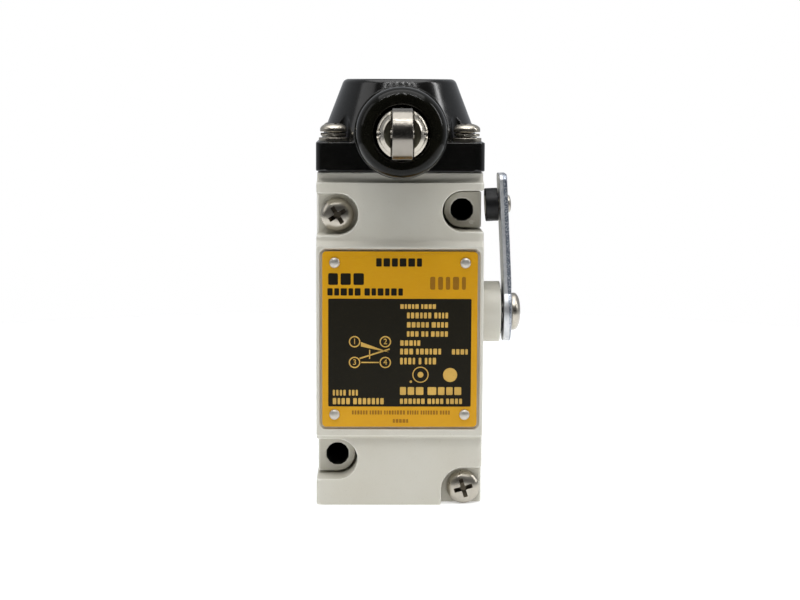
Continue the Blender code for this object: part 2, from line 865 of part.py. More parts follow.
def box_screws(mats):
    for name, place, floor in (
        ("box_screw_upper", UPPER_SCREW, UPPER_POCKET_FLOOR),
        ("box_screw_lower", LOWER_SCREW, LOWER_POCKET_FLOOR),
    ):
        made = pan_screw(
            name,
            "Y",
            (0, 0),
            BOX_SCREW_HEAD,
            BOX_SCREW_RADIUS,
            floor - GAP,
            BOX_SCREW_TIP,
            mats["nickel"],
        )
        made.location = Vector((place[0], 0, place[1])) * MM


# -------------------------------------------------------------- switch unit


def fixed_contact(name, side, z, facing, mats):
    """A flat bar with a contact button. Its tail is a plug pin."""
    half = CONTACT_THICKNESS / 2
    made = box(
        name,
        (side * CONTACT_X - CONTACT_WIDTH / 2, ROD_Y - CONTACT_HALF_DEPTH, z - half),
        (side * CONTACT_X + CONTACT_WIDTH / 2, CONTACT_TAIL, z + half),
        mats["contact_brass"],
    )
    low, high = sorted((z, z + facing * (half + BUTTON_HEIGHT)))
    centre = (side * CONTACT_X, ROD_Y)
    button = cylinder("button", "Z", centre, BUTTON_RADIUS, low, high, None, 12)
    return join(made, button)


def switch_unit(mats):
    plastic = mats["unit_plastic"]
    wall = UNIT_WALL
    cover_back = UNIT_FRONT + wall
    case = box(
        "switch_unit_case",
        (-UNIT_HALF_WIDTH, cover_back + GAP, UNIT_BOTTOM),
        (UNIT_HALF_WIDTH, UNIT_REAR, UNIT_TOP),
        plastic,
    )
    pin_hole = (PIN_RADIUS + GAP, UNIT_TOP - 2 * wall, UNIT_TOP + OVER, None, SMALL_SEGMENTS)
    cutters = [
        box(
            "inside",
            (-UNIT_HALF_WIDTH + wall, UNIT_FRONT - OVER, UNIT_BOTTOM + wall),
            (UNIT_HALF_WIDTH - wall, UNIT_REAR - wall, UNIT_TOP - wall),
        ),
        cylinder("pin_hole", "Z", (0, ROD_Y), *pin_hole),
    ]
    slot_x = CONTACT_WIDTH / 2 + GAP
    slot_z = CONTACT_THICKNESS / 2 + GAP
    for x in (-CONTACT_X, CONTACT_X):
        for z in (CONTACT_NC_Z, CONTACT_NO_Z):
            cutters.append(
                box(
                    "slot",
                    (x - slot_x, UNIT_REAR - 2 * wall, z - slot_z),
                    (x + slot_x, UNIT_REAR + OVER, z + slot_z),
                )
            )
    cut(case, *cutters)
    box(
        "switch_unit_cover",
        (-UNIT_HALF_WIDTH, UNIT_FRONT, UNIT_BOTTOM),
        (UNIT_HALF_WIDTH, cover_back, UNIT_TOP),
        plastic,
    )
    fixed_contact("contact_nc_left", -1, CONTACT_NC_Z, -1, mats)
    fixed_contact("contact_nc_right", 1, CONTACT_NC_Z, -1, mats)
    fixed_contact("contact_no_left", -1, CONTACT_NO_Z, 1, mats)
    fixed_contact("contact_no_right", 1, CONTACT_NO_Z, 1, mats)


def moving_contacts(mats):
    """The switch pin, the bridge that it carries and the spring below."""
    rod = (0, ROD_Y)
    top = ROD_BOTTOM - GAP
    above = BRIDGE_Z + BRIDGE_THICKNESS / 2 + GAP
    tip = BRIDGE_Z - PIN_TIP_DROP
    collar_top = above + PIN_COLLAR_HEIGHT
    profile = [
        (0, tip),
        (PIN_RADIUS, tip),
        (PIN_RADIUS, above),
        (PIN_COLLAR_RADIUS, above),
        (PIN_COLLAR_RADIUS, collar_top),
        (PIN_RADIUS, collar_top),
        (PIN_RADIUS, top - PIN_CHAMFER),
        (PIN_RADIUS - PIN_CHAMFER, top),
        (0, top),
    ]
    pin = turned("switch_pin", "Z", rod, profile, mats["black_nylon"], SMALL_SEGMENTS)
    half = BRIDGE_THICKNESS / 2
    bridge = box(
        "contact_bridge",
        (-BRIDGE_HALF_LENGTH, ROD_Y - BRIDGE_HALF_WIDTH, BRIDGE_Z - half),
        (BRIDGE_HALF_LENGTH, ROD_Y + BRIDGE_HALF_WIDTH, BRIDGE_Z + half),
        mats["contact_brass"],
    )
    reach = half + BUTTON_HEIGHT
    low = BRIDGE_Z - reach
    high = BRIDGE_Z + reach
    buttons = [
        cylinder("button", "Z", (x, ROD_Y), BUTTON_RADIUS, low, high, None, 12)
        for x in (-CONTACT_X, CONTACT_X)
    ]
    join(bridge, *buttons)
    hole = (PIN_RADIUS + GAP, BRIDGE_Z - OVER, BRIDGE_Z + OVER, None, SMALL_SEGMENTS)
    cut(bridge, cylinder("hole", "Z", rod, *hole))
    spring = coil(
        "contact_spring",
        "Z",
        rod,
        CONTACT_SPRING,
        BRIDGE_Z - half - 2 * GAP,
        UNIT_BOTTOM + UNIT_WALL + 2 * GAP,
        7,
        mats["spring_steel"],
    )
    return pin, bridge, spring


# --------------------------------------------------------------------- head


def head_cone():
    """The upper part of the head: a round cone with a rounded top edge."""
    base = FLANGE_TOP - OVER
    lean = math.atan2(HEAD_BASE_RADIUS - HEAD_TOP_RADIUS, HEAD_TOP - base)
    centre = (HEAD_TOP_RADIUS - HEAD_TOP_ROUND, HEAD_TOP - HEAD_TOP_ROUND)
    edge = arc(centre, HEAD_TOP_ROUND, math.degrees(lean), 90, 5)
    profile = [(0, base), (HEAD_BASE_RADIUS, base), *edge, (0, HEAD_TOP)]
    return turned("cone", "Z", (0, HEAD_Y), profile, None, 2 * ROUND_SEGMENTS)


def head_housing(mats):
    half = HEAD_HALF_WIDTH
    depth = FLANGE_HALF_DEPTH
    made = prism(
        "head_housing",
        "Z",
        rounded_rectangle(-half, half, HEAD_Y - depth, HEAD_Y + depth, FLANGE_CORNER),
        HEAD_BOTTOM,
        FLANGE_TOP,
        mats["black_enamel"],
    )
    axle = (0, PLUNGER_Z)
    boss = cylinder("boss", "Y", axle, HEAD_BOSS_RADIUS, HEAD_BOSS_BACK, HEAD_BOSS_FRONT)
    join(made, head_cone(), boss)
    cutters = []
    low = HEAD_BOTTOM - OVER
    pocket = (HEAD_SCREW_POCKET, HEAD_SCREW_SEAT, HEAD_TOP + OVER)
    hole = (HEAD_SCREW_HOLE, low, FLANGE_TOP + OVER, None, SMALL_SEGMENTS)
    for x in (-HEAD_SCREW_X, HEAD_SCREW_X):
        for y in HEAD_SCREW_ROWS:
            cutters.append(cylinder("screw_pocket", "Z", (x, y), *pocket))
            cutters.append(cylinder("screw_hole", "Z", (x, y), *hole))
    profile = [
        (0, HEAD_BORE_BACK),
        (HEAD_BORE_RADIUS, HEAD_BORE_BACK),
        (HEAD_BORE_RADIUS, BEARING_BACK + GAP),
        (BEARING_SLEEVE_RADIUS + GAP, BEARING_BACK + GAP),
        (BEARING_SLEEVE_RADIUS + GAP, HEAD_BOSS_FRONT - OVER),
        (0, HEAD_BOSS_FRONT - OVER),
    ]
    cutters.append(turned("plunger_bore", "Y", axle, profile))
    rod_hole = (ROD_HOLE_RADIUS, low, PLUNGER_Z - OVER, None, SMALL_SEGMENTS)
    cutters.append(cylinder("rod_hole", "Z", (0, ROD_Y), *rod_hole))
    inner, outer, height = HEAD_GASKET
    middle = (0, HEAD_Y)
    top = HEAD_BOTTOM + height
    cutters.append(ring("groove", "Z", middle, inner - GAP, outer + GAP, low, top + GAP, None))
    cut(made, *cutters)
    ring("head_gasket", "Z", middle, inner, outer, HEAD_BOTTOM, top, mats["gasket_rubber"])
    return made


def rod_guide(mats):
    """The bronze guide bush of the push rod, flanged below the box plate."""
    profile = [
        (GUIDE_BORE, GUIDE_BOTTOM),
        (GUIDE_FLANGE_RADIUS, GUIDE_BOTTOM),
        (GUIDE_FLANGE_RADIUS, GUIDE_FLANGE_TOP),
        (GUIDE_RADIUS, GUIDE_FLANGE_TOP),
        (GUIDE_RADIUS, GUIDE_TOP),
        (GUIDE_BORE, GUIDE_TOP),
    ]
    turned("rod_guide", "Z", (0, ROD_Y), profile, mats["bronze"], SMALL_SEGMENTS)


def head_fasteners(mats):
    places = [(x, y, 0) for y in HEAD_SCREW_ROWS for x in (-HEAD_SCREW_X, HEAD_SCREW_X)]
    numbers = (1, 2, 3, 4)
    hole, radius, height = FLAT_WASHER
    low = HEAD_SCREW_SEAT + GAP
    high = low + height
    names = ["flat_washer_%d" % number for number in numbers]
    first = ring(names[0], "Z", (0, 0), hole, radius, low, high, mats["nickel"], 16)
    copies(first, names, places)
    hole, radius, height = SPRING_WASHER
    low = high + GAP
    high = low + height
    names = ["spring_washer_%d" % number for number in numbers]
    first = ring(names[0], "Z", (0, 0), hole, radius, low, high, mats["spring_steel"], 16)
    reach = radius + OVER
    split = [(OVER, -GAP), (reach, -GAP), (reach, GAP), (OVER, GAP)]
    cut(first, prism("split", "Z", split, low - OVER, high + OVER))
    copies(first, names, places)
    names = ["head_screw_%d" % number for number in numbers]
    first = pan_screw(
        names[0],
        "Z",
        (0, 0),
        HEAD_SCREW_HEAD,
        HEAD_SCREW_SHANK,
        high + GAP,
        HEAD_SCREW_TIP,
        mats["nickel"],
    )
    copies(first, names, places)


def plunger_bearing(mats):
    """A hexagon collar with a threaded sleeve that screws into the head."""
    corner = BEARING_ACROSS_FLATS / math.sqrt(3)
    axle = (0, PLUNGER_Z)
    shape = arc(axle, corner, 0, 300, 5)
    black = mats["black_oxide"]
    made = prism("plunger_bearing", "Y", shape, BEARING_FRONT, BEARING_SHOULDER, black)
    start = BEARING_FRONT + OVER
    join(made, cylinder("sleeve", "Y", axle, BEARING_SLEEVE_RADIUS, start, BEARING_BACK))
    start = BEARING_FRONT - OVER
    return cut(made, cylinder("bore", "Y", axle, BEARING_BORE, start, BEARING_BACK + OVER))


def plunger_boot(mats):
    """The rubber dome in front of the bearing: a bulging ring with a bead at its back."""
    bulge = arc((0, 0), 1.0, 0, 90, 6)
    wide = BOOT_RADIUS - BOOT_LIP
    depth = BOOT_SHOULDER - BOOT_FRONT
    profile = [
        (BOOT_HOLE, BOOT_BACK),
        (BOOT_BACK_RADIUS, BOOT_BACK),
        (BOOT_BEAD_RADIUS, BOOT_BEAD_BACK),
        (BOOT_BEAD_RADIUS, BOOT_BEAD_FRONT),
        (BOOT_RADIUS, BOOT_BEAD_FRONT - GAP),
    ]
    profile += [(BOOT_LIP + wide * x, BOOT_SHOULDER - depth * y) for x, y in bulge]
    profile.append((BOOT_HOLE, BOOT_FRONT + 2 * GAP))
    return turned("plunger_boot", "Y", (0, PLUNGER_Z), profile, mats["rubber"])


# ------------------------------------------------------------ moving pieces


def plunger(mats):
    axle = (0, PLUNGER_Z)
    profile = [
        (0, PLUNGER_BACK),
        (PLUNGER_RADIUS, PLUNGER_BACK),
        (PLUNGER_RADIUS, PLUNGER_FRONT + PLUNGER_CHAMFER),
        (PLUNGER_RADIUS - PLUNGER_CHAMFER, PLUNGER_FRONT),
        (0, PLUNGER_FRONT),
    ]
    made = turned("plunger", "Y", axle, profile, mats["stainless"])
    reach = PLUNGER_RADIUS + OVER
    slot = box(
        "slot",
        (-PLUNGER_SLOT, PLUNGER_FRONT - OVER, PLUNGER_Z - reach),
        (PLUNGER_SLOT, PLUNGER_SLOT_BACK, PLUNGER_Z + reach),
    )
    roof = [
        (y, ROD_TOP + GAP + WEDGE_SLOPE * (y - ROD_Y)) for y in (NOTCH_FRONT, NOTCH_BACK)
    ]
    low = PLUNGER_Z - reach
    shape = [(NOTCH_FRONT, low), *roof, (NOTCH_BACK, low)]
    notch = prism("notch", "X", shape, -NOTCH_HALF_WIDTH, NOTCH_HALF_WIDTH)
    roller_axle = (ROLLER_Y, PLUNGER_Z)
    bore = ROLLER_PIN_RADIUS + GAP
    pin_hole = cylinder("pin_hole", "X", roller_axle, bore, -reach, reach, None, SMALL_SEGMENTS)
    cut(made, slot, notch, pin_hole)
    roller = ring(
        "plunger_roller",
        "X",
        roller_axle,
        bore,
        ROLLER_RADIUS,
        -ROLLER_HALF_WIDTH,
        ROLLER_HALF_WIDTH,
        mats["stainless"],
    )
    pin = cylinder(
        "roller_pin",
        "X",
        roller_axle,
        ROLLER_PIN_RADIUS,
        -ROLLER_PIN_REACH,
        ROLLER_PIN_REACH,
        mats["stainless"],
        12,
    )
    spring = coil(
        "plunger_spring",
        "Y",
        axle,
        PLUNGER_SPRING,
        PLUNGER_BACK + GAP + PLUNGER_SPRING[1],
        HEAD_BORE_BACK - GAP - PLUNGER_SPRING[1],
        6,
        mats["spring_steel"],
    )
    return made, roller, pin, spring


def push_rod(mats):
    rod = cylinder(
        "push_rod",
        "Z",
        (0, ROD_Y),
        ROD_RADIUS,
        ROD_BOTTOM,
        ROD_TOP + 2 * OVER,
        mats["stainless"],
        SMALL_SEGMENTS,
    )
    reach = ROD_RADIUS + OVER
    rise = WEDGE_SLOPE * reach
    shape = [
        (ROD_Y - reach, ROD_TOP - rise),
        (ROD_Y + reach, ROD_TOP + rise),
        (ROD_Y + reach, ROD_TOP + 4 * OVER),
        (ROD_Y - reach, ROD_TOP + 4 * OVER),
    ]
    cut(rod, prism("slant", "X", shape, -reach, reach))
    follower = box("cam_follower", FOLLOWER_LOW, FOLLOWER_HIGH, mats["bronze"])
    low = FOLLOWER_LOW[2] - OVER
    high = FOLLOWER_HIGH[2] + OVER
    cut(
        follower,
        cylinder("hole", "Z", (0, ROD_Y), ROD_RADIUS + GAP, low, high, None, SMALL_SEGMENTS),
    )
    return rod, follower


def lever_shaft(mats):
    centre = (LEVER_Y, LEVER_Z)
    steel = mats["stainless"]
    shaft = cylinder("lever_shaft", "X", centre, SHAFT_RADIUS, SHAFT_START, SHAFT_END, steel, 20)
    start = SHAFT_END - SHAFT_THREAD_DEPTH
    thread = (SHAFT_THREAD_RADIUS, start, SHAFT_END + OVER, None, SMALL_SEGMENTS)
    cut(shaft, cylinder("thread", "X", centre, *thread))
    edge = math.degrees(math.acos(CAM_FLAT / CAM_RADIUS))
    outline = arc(centre, CAM_RADIUS, -90 + edge, 270 - edge, 18)
    cam = prism("cam", "X", outline, CAM_START, CAM_END, mats["bronze"])
    bore = SHAFT_RADIUS + GAP
    cut(cam, cylinder("bore", "X", centre, bore, CAM_START - OVER, CAM_END + OVER, None, 20))
    clip = ring(
        "shaft_retaining_ring",
        "X",
        centre,
        bore,
        CLIP_RADIUS,
        CLIP_START,
        CLIP_END,
        mats["spring_steel"],
        20,
    )
    return shaft, cam, clip


def shaft_seats(mats):
    """The fixed pieces round the lever shaft: bush, seal and return spring."""
    centre = (LEVER_Y, LEVER_Z)
    inner = SHAFT_RADIUS + GAP
    bronze = mats["bronze"]
    rubber = mats["gasket_rubber"]
    ring("shaft_bush", "X", centre, inner, BUSH_RADIUS, LEVER_BOSS_INNER, BUSH_END, bronze, 20)
    ring("shaft_seal", "X", centre, inner, SEAL_RADIUS, SEAL_START, SEAL_END, rubber, 20)
    coil(
        "lever_return_spring",
        "X",
        centre,
        LEVER_SPRING,
        LEVER_SPRING_START,
        LEVER_SPRING_END,
        3,
        mats["spring_steel"],
    )


def lever_arm(mats):
    """A flat bar with a round hub, bent inwards a little above the hub."""
    hub = (LEVER_Y, LEVER_Z)
    reach = ARM_HALF_WIDTH - ARM_TIP_CORNER
    level = ARM_TOP - ARM_TIP_CORNER
    outline = arc(hub, ARM_HUB_RADIUS, 137, 403, 20)
    outline.append((LEVER_Y + ARM_HALF_WIDTH, ARM_BEND_Z))
    outline += arc((LEVER_Y + reach, level), ARM_TIP_CORNER, 0, 90, 5)
    outline += arc((LEVER_Y - reach, level), ARM_TIP_CORNER, 90, 180, 5)
    outline.append((LEVER_Y - ARM_HALF_WIDTH, ARM_BEND_Z))
    outer = ARM_INNER_FACE + ARM_THICKNESS
    made = prism("lever_arm", "X", outline, ARM_INNER_FACE, outer, mats["zinc"])
    for vert in made.data.vertices:
        above = vert.co.z - ARM_BEND_Z * MM
        if above > 0:
            vert.co.x -= math.tan(ARM_LEAN) * above
    bore = cylinder(
        "bore", "X", hub, SHAFT_RADIUS + GAP, ARM_INNER_FACE - OVER, outer + OVER, None, 20
    )
    cut(made, bore)
    screw = pan_screw(
        "lever_screw",
        "X",
        hub,
        LEVER_SCREW_HEAD,
        LEVER_SCREW_SHANK,
        outer + GAP,
        LEVER_SCREW_TIP,
        mats["nickel"],
    )
    return made, screw


def lever_roller(mats):
    """The roller and its rivet, made at the origin and tilted with the arm."""
    start = -LEVER_ROLLER_WIDTH
    bore = RIVET_SHANK + GAP
    recess, depth = LEVER_ROLLER_RECESS
    small = LEVER_ROLLER_RADIUS - LEVER_ROLLER_CHAMFER
    profile = [
        (bore, 0.0),
        (bore, start + depth),
        (recess, start + depth),
        (recess, start),
        (small, start),
        (LEVER_ROLLER_RADIUS, start + LEVER_ROLLER_CHAMFER),
        (LEVER_ROLLER_RADIUS, -LEVER_ROLLER_CHAMFER),
        (small, 0.0),
    ]
    roller = turned("lever_roller", "X", (0, 0), profile, mats["black_nylon"])
    seat = ARM_THICKNESS + 2 * GAP
    head, thick = RIVET_HEAD
    wide, narrow, height = RIVET_CLINCH
    profile = [
        (0, start),
        (head, start),
        (head, start + thick),
        (RIVET_SHANK, start + thick),
        (RIVET_SHANK, seat),
        (wide, seat),
        (narrow, seat + height),
        (0, seat + height),
    ]
    rivet = turned("roller_rivet", "X", (0, 0), profile, mats["nickel"], SMALL_SEGMENTS)
    drop = math.tan(ARM_LEAN) * (LEVER_ROLLER_Z - ARM_BEND_Z)
    face = ARM_INNER_FACE - drop - GAP
    place = Vector((face, LEVER_Y, LEVER_ROLLER_Z)) * MM
    for made in (roller, rivet):
        made.location = place
        made.rotation_euler = (0, -ARM_LEAN, 0)
    arm = bpy.data.objects["lever_arm"]
    hole = cylinder("rivet_hole", "X", (0, 0), bore, -OVER, seat + OVER, None, SMALL_SEGMENTS)
    hole.location = place
    hole.rotation_euler = (0, -ARM_LEAN, 0)
    cut(arm, hole)
    return roller, rivet


def joint_axis(name, place, pieces, parent=None):
    """An empty on a joint's axis that carries the pieces of that body."""
    empty = bpy.data.objects.new(name, None)
    empty.empty_display_size = 5 * MM
    empty.location = Vector(place) * MM
    bpy.context.scene.collection.objects.link(empty)
    if parent:
        empty.parent = parent
        empty.matrix_parent_inverse = Matrix.Translation(-parent.location)
    for piece in pieces:
        piece.parent = empty
        piece.matrix_parent_inverse = Matrix.Translation(-empty.location)
    return empty


def build():
    for old in list(bpy.data.objects):
        bpy.data.objects.remove(old)
    mats = all_materials()
    receptacle(mats)
    hole_plugs(mats)
    terminal_block(mats)
    box_gasket(mats)
    switch_box(mats)
    nameplate(mats)
    box_screws(mats)
    switch_unit(mats)
    head_housing(mats)
    rod_guide(mats)
    head_fasteners(mats)
    plunger_bearing(mats)
    plunger_boot(mats)
    shaft_seats(mats)
    plunger_piece, roller, pin, _ = plunger(mats)
    slide = joint_axis("plunger_axis", (0, ROLLER_Y, PLUNGER_Z), (plunger_piece, pin))
    joint_axis("plunger_roller_axis", (0, ROLLER_Y, PLUNGER_Z), (roller,), slide)
    joint_axis("push_rod_axis", (0, ROD_Y, ROD_TOP), push_rod(mats))
    switch_pin, bridge, _ = moving_contacts(mats)
    joint_axis("switch_pin_axis", (0, ROD_Y, UNIT_TOP), (switch_pin, bridge))
    swing = joint_axis(
        "lever_axis", (0, LEVER_Y, LEVER_Z), (*lever_shaft(mats), *lever_arm(mats))
    )
    small_roller, rivet = lever_roller(mats)
    rivet.parent = swing
    rivet.matrix_parent_inverse = Matrix.Translation(-swing.location)
    place = small_roller.location / MM
    joint_axis("lever_roller_axis", place, (small_roller,), swing)


build()
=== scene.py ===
"""Looks of the limit switch: castings, printed plate, fasteners and studio.

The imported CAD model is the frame. Shapes are modelled in millimetres in that
frame, and install() scales each finished piece to metres and sets it on its
body. +X is the lever side, -Y the front and +Z up.
"""

import json
import math
import random

import bmesh
import bpy
import numpy
from mathutils import Matrix, Vector


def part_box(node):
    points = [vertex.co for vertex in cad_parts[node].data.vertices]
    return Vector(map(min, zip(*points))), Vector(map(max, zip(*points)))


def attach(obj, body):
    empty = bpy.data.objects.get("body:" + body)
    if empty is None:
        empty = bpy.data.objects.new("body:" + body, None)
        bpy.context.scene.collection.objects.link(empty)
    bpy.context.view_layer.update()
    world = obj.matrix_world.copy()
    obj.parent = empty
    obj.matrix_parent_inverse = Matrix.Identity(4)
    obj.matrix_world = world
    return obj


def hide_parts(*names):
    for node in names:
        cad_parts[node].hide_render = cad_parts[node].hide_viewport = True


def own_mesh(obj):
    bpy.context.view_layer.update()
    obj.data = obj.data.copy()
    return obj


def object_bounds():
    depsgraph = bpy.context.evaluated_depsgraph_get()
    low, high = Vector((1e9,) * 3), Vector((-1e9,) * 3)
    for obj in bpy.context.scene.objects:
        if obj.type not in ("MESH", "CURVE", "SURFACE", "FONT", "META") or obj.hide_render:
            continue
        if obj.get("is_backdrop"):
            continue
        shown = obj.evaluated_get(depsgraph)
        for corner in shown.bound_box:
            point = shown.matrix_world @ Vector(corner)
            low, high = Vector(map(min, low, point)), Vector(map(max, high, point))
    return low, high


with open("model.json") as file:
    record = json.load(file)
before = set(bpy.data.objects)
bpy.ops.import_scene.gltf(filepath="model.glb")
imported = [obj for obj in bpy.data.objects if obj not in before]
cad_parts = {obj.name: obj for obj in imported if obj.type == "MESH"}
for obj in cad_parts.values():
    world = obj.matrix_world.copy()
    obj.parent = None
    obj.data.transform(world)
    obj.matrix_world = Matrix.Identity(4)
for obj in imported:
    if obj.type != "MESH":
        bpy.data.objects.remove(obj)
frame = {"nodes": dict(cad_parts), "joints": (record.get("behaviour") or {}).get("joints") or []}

MM = 0.001
OVER = 1.0  # how far a cutter runs past the face that it opens
SHARP_ANGLE = math.radians(35.0)
MERGE = 1e-5

# Castings are remeshed evenly, so that every edge and inner corner is softened
CAST_VOXEL = 0.25
CAST_PASSES = 2
CAST_KEEP = 0.26
HEAD_KEEP = 0.7
FLAT_ALIKE = 0.995  # cosine of the bend between neighbours that still counts as flat
FLAT_RINGS = 2  # rings of faces beside an edge that are never thinned

# Switch box
CASTING_CORNER = 1.0
SHOULDER_Z = 36.8
NECK_BASE_Z = 37.7
NECK_INSET = 1.2
NECK_SIDE = 0.2
PLATE_BOTTOM_Z = 35.0
BOX_FRONT_Y = -40.0
BOX_REAR_Y = -24.8
CAVITY_FRONT_Y = -37.0
PANEL_TOP_Z = 22.9
PANEL_BOTTOM_Z = -24.2
PANEL_CHAMFER = 1.2
BOX_WALL = 1.8
HOLE_X = 15.0
HOLE_Z = 30.0
HOLE_RADIUS = 2.7
HOLE_POCKET = 4.9
HOLE_BOSS = 4.3
HOLE_BOSS_SIDE = 19.7
UPPER_POCKET = (-15.0, 29.2, 5.0)
UPPER_FLOOR_Y = -35.5
LOWER_NOTCH = (15.6, -37.5, 5.4)
LOWER_FLOOR_Y = -36.4
SIDE_BOSS = 7.35
SIDE_BOSS_INNER = 13.0
SEAL_BORE = 5.8
SEAL_SEAT = 22.3
BUSH_BORE = 4.9
GUIDE_BORE = 4.5
GUIDE_OFFSET = 1.0
GUIDE_BOTTOM = 30.0
BOX_SCREW_BORE = 1.9
HEAD_THREAD = 1.8
CAM_RELIEF = ((2.4, -38.6, -3.5), (12.7, -30.0, 12.5))  # opposite corners
RECESS_MARGIN = 0.65
RECESS_FLOOR_Y = -40.6

# Receptacle
BACK_WALL = 2.5
SIDE_WALL = 2.5
FLOOR = 7.0
CONDUIT_RADIUS = 9.25
CONDUIT_Y = -12.3
SCREW_BOSS = 4.0
GASKET_GAP = 0.3

# Side lever, whose arm leans inwards in degrees; the outer part of its edge is torn
ARM_LEAN = 3.0
ARM_BEND_Z = 12.5
ARM_SHEET = 1.9
ARM_HUB = 7.15
ARM_HALF = 5.2
ARM_CORNER = 2.0
ARM_TEAR = 26.45

# Head
FLANGE_TOP_Z = 46.3
FLANGE_CORNER = 2.5
CONE_BASE = 19.8
CONE_TOP = 14.1
CONE_ROUND = 1.5
HEAD_SCREW_X = 16.0
HEAD_SCREW_ROWS = (-34.4, -7.6)
HEAD_SCREWS = [(x, y) for x in (-HEAD_SCREW_X, HEAD_SCREW_X) for y in HEAD_SCREW_ROWS]
HEAD_SCREW_BORE = 2.1
ROD_BORE = 2.6
HEAD_POCKET = 3.9
POCKET_SPAN = (11.6, 19.0)  # distances from the middle plane, and heights, between which the screw pockets' edges get a painted highlight
POCKET_HIGHLIGHT_Z = (47.3, 53.0)  # which the screw pockets' edges are worn
BAND_EDGE = 0.5
HEAD_BOSS = 9.4
HEAD_BORE = 6.5
HEAD_BORE_BACK = -9.0
SLEEVE_BORE = 8.6
HEXAGON_TRIM = 1.8  # keeps the bearing's corners behind the rubber dome
HEXAGON_BACK = -41.3
THREAD_PITCH = 0.7
THREAD_CREST = 8.3
THREAD_ROOT = 7.9
BEARING_BORE = 6.15

# Plunger
ROLLER_SLOT = 2.65
ROLLER_SLOT_BACK = -61.4
NOTCH_FRONT_Y = -39.6
NOTCH_REAR_Y = -29.2
NOTCH_ROOF_Z = 48.5
NOTCH_HALF = 2.4
NOTCH_SLOPE = 0.4  # how far the push rod sinks for each millimetre that the plunger moves
PIN_HOLE = 1.3

# The camera's place in millimetres, its angles in degrees and its lens
CAMERA_PLACE = (-6.469, -475.332, 59.686)
CAMERA_PITCH = 6.673
CAMERA_YAW = 0.856
CAMERA_ROLL = -0.245
CAMERA_LENS = 82.44


def corners(node):
    """A CAD node's lowest and highest corners at rest, in millimetres."""
    low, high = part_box(node)
    return low / MM, high / MM


def middle_of(node):
    low, high = corners(node)
    return (low + high) / 2


def joint_named(name):
    return next(joint for joint in frame["joints"] if joint["name"] == name)


def joint_place(name):
    return Vector(joint_named(name)["pos_m"]) / MM


# ------------------------------------------------------------- shape helpers


def on_axis(axis, first, second, along):
    """A point from two sideways coordinates and one along the axis."""
    if axis == "X":
        return Vector((along, first, second))
    if axis == "Y":
        return Vector((first, along, second))
    return Vector((first, second, along))


def placed(name, data):
    """A new object in the scene."""
    made = bpy.data.objects.new(name, data)
    bpy.context.scene.collection.objects.link(made)
    return made


def mesh_from(name, bm):
    mesh = bpy.data.meshes.new(name)
    bm.to_mesh(mesh)
    bm.free()
    return mesh


def finished(name, bm):
    bmesh.ops.remove_doubles(bm, verts=bm.verts, dist=MERGE)
    bmesh.ops.recalc_face_normals(bm, faces=bm.faces)
    mesh = mesh_from(name, bm)
    mesh.shade_smooth()
    mesh.set_sharp_from_angle(angle=SHARP_ANGLE)
    return placed(name, mesh)


def extrude(bm, points, by):
    """Adds a closed outline to a mesh and extrudes it by a vector."""
    face = bm.faces.new([bm.verts.new(point) for point in points])
    grown = bmesh.ops.extrude_face_region(bm, geom=[face])["geom"]
    moved = [item for item in grown if isinstance(item, bmesh.types.BMVert)]
    bmesh.ops.translate(bm, vec=by, verts=moved)


def box(name, low, high):
    bm = bmesh.new()
    bmesh.ops.create_cube(bm, size=1.0)
    low = Vector(low)
    high = Vector(high)
    bmesh.ops.scale(bm, vec=high - low, verts=bm.verts)
    bmesh.ops.translate(bm, vec=(low + high) / 2, verts=bm.verts)
    return finished(name, bm)


def prism(name, axis, outline, start, end):
    """A closed outline, square to the axis, extruded from start to end."""
    bm = bmesh.new()
    extrude(bm, [on_axis(axis, u, v, start) for u, v in outline], on_axis(axis, 0, 0, end - start))
    return finished(name, bm)


def turned(name, axis, centre, profile, segments=72):
    """A profile of (radius, place along the axis) turned once round the axis.

    A profile that starts on the axis makes a solid piece, and any other
    profile is closed into a ring.
    """
    bm = bmesh.new()
    points = [on_axis(axis, centre[0] + r, centre[1], along) for r, along in profile]
    verts = [bm.verts.new(point) for point in points]
    edges = [bm.edges.new(pair) for pair in zip(verts, verts[1:])]
    if profile[0][0] > 0:
        edges.append(bm.edges.new((verts[-1], verts[0])))
    bmesh.ops.spin(
        bm,
        geom=verts + edges,
        cent=on_axis(axis, centre[0], centre[1], 0.0),
        axis=on_axis(axis, 0, 0, 1),
        angle=2 * math.pi,
        steps=segments,
        use_merge=True,
    )
    return finished(name, bm)


def cylinder(name, axis, centre, radius, start, end, segments=64):
    return prism(name, axis, arc(centre, radius, 0, 360, segments)[:-1], start, end)


def bake(made):
    """Applies the modifiers."""
    bpy.context.view_layer.update()
    graph = bpy.context.evaluated_depsgraph_get()
    result = bpy.data.meshes.new_from_object(made.evaluated_get(graph))
    made.modifiers.clear()
    old = made.data
    made.data = result
    bpy.data.meshes.remove(old)
    result.name = made.name
    return made


def combine(made, others, operation):
    """Joins or cuts with each helper in turn, then drops the helpers."""
    for other in others:
        step = made.modifiers.new(operation.lower(), "BOOLEAN")
        step.operation = operation
        step.object = other
    bake(made)
    made.data.shade_smooth()
    made.data.set_sharp_from_angle(angle=SHARP_ANGLE)
    for other in others:
        bpy.data.objects.remove(other)
    return made


def cut(made, *others):
    return combine(made, others, "DIFFERENCE")


def join(made, *others):
    return combine(made, others, "UNION")


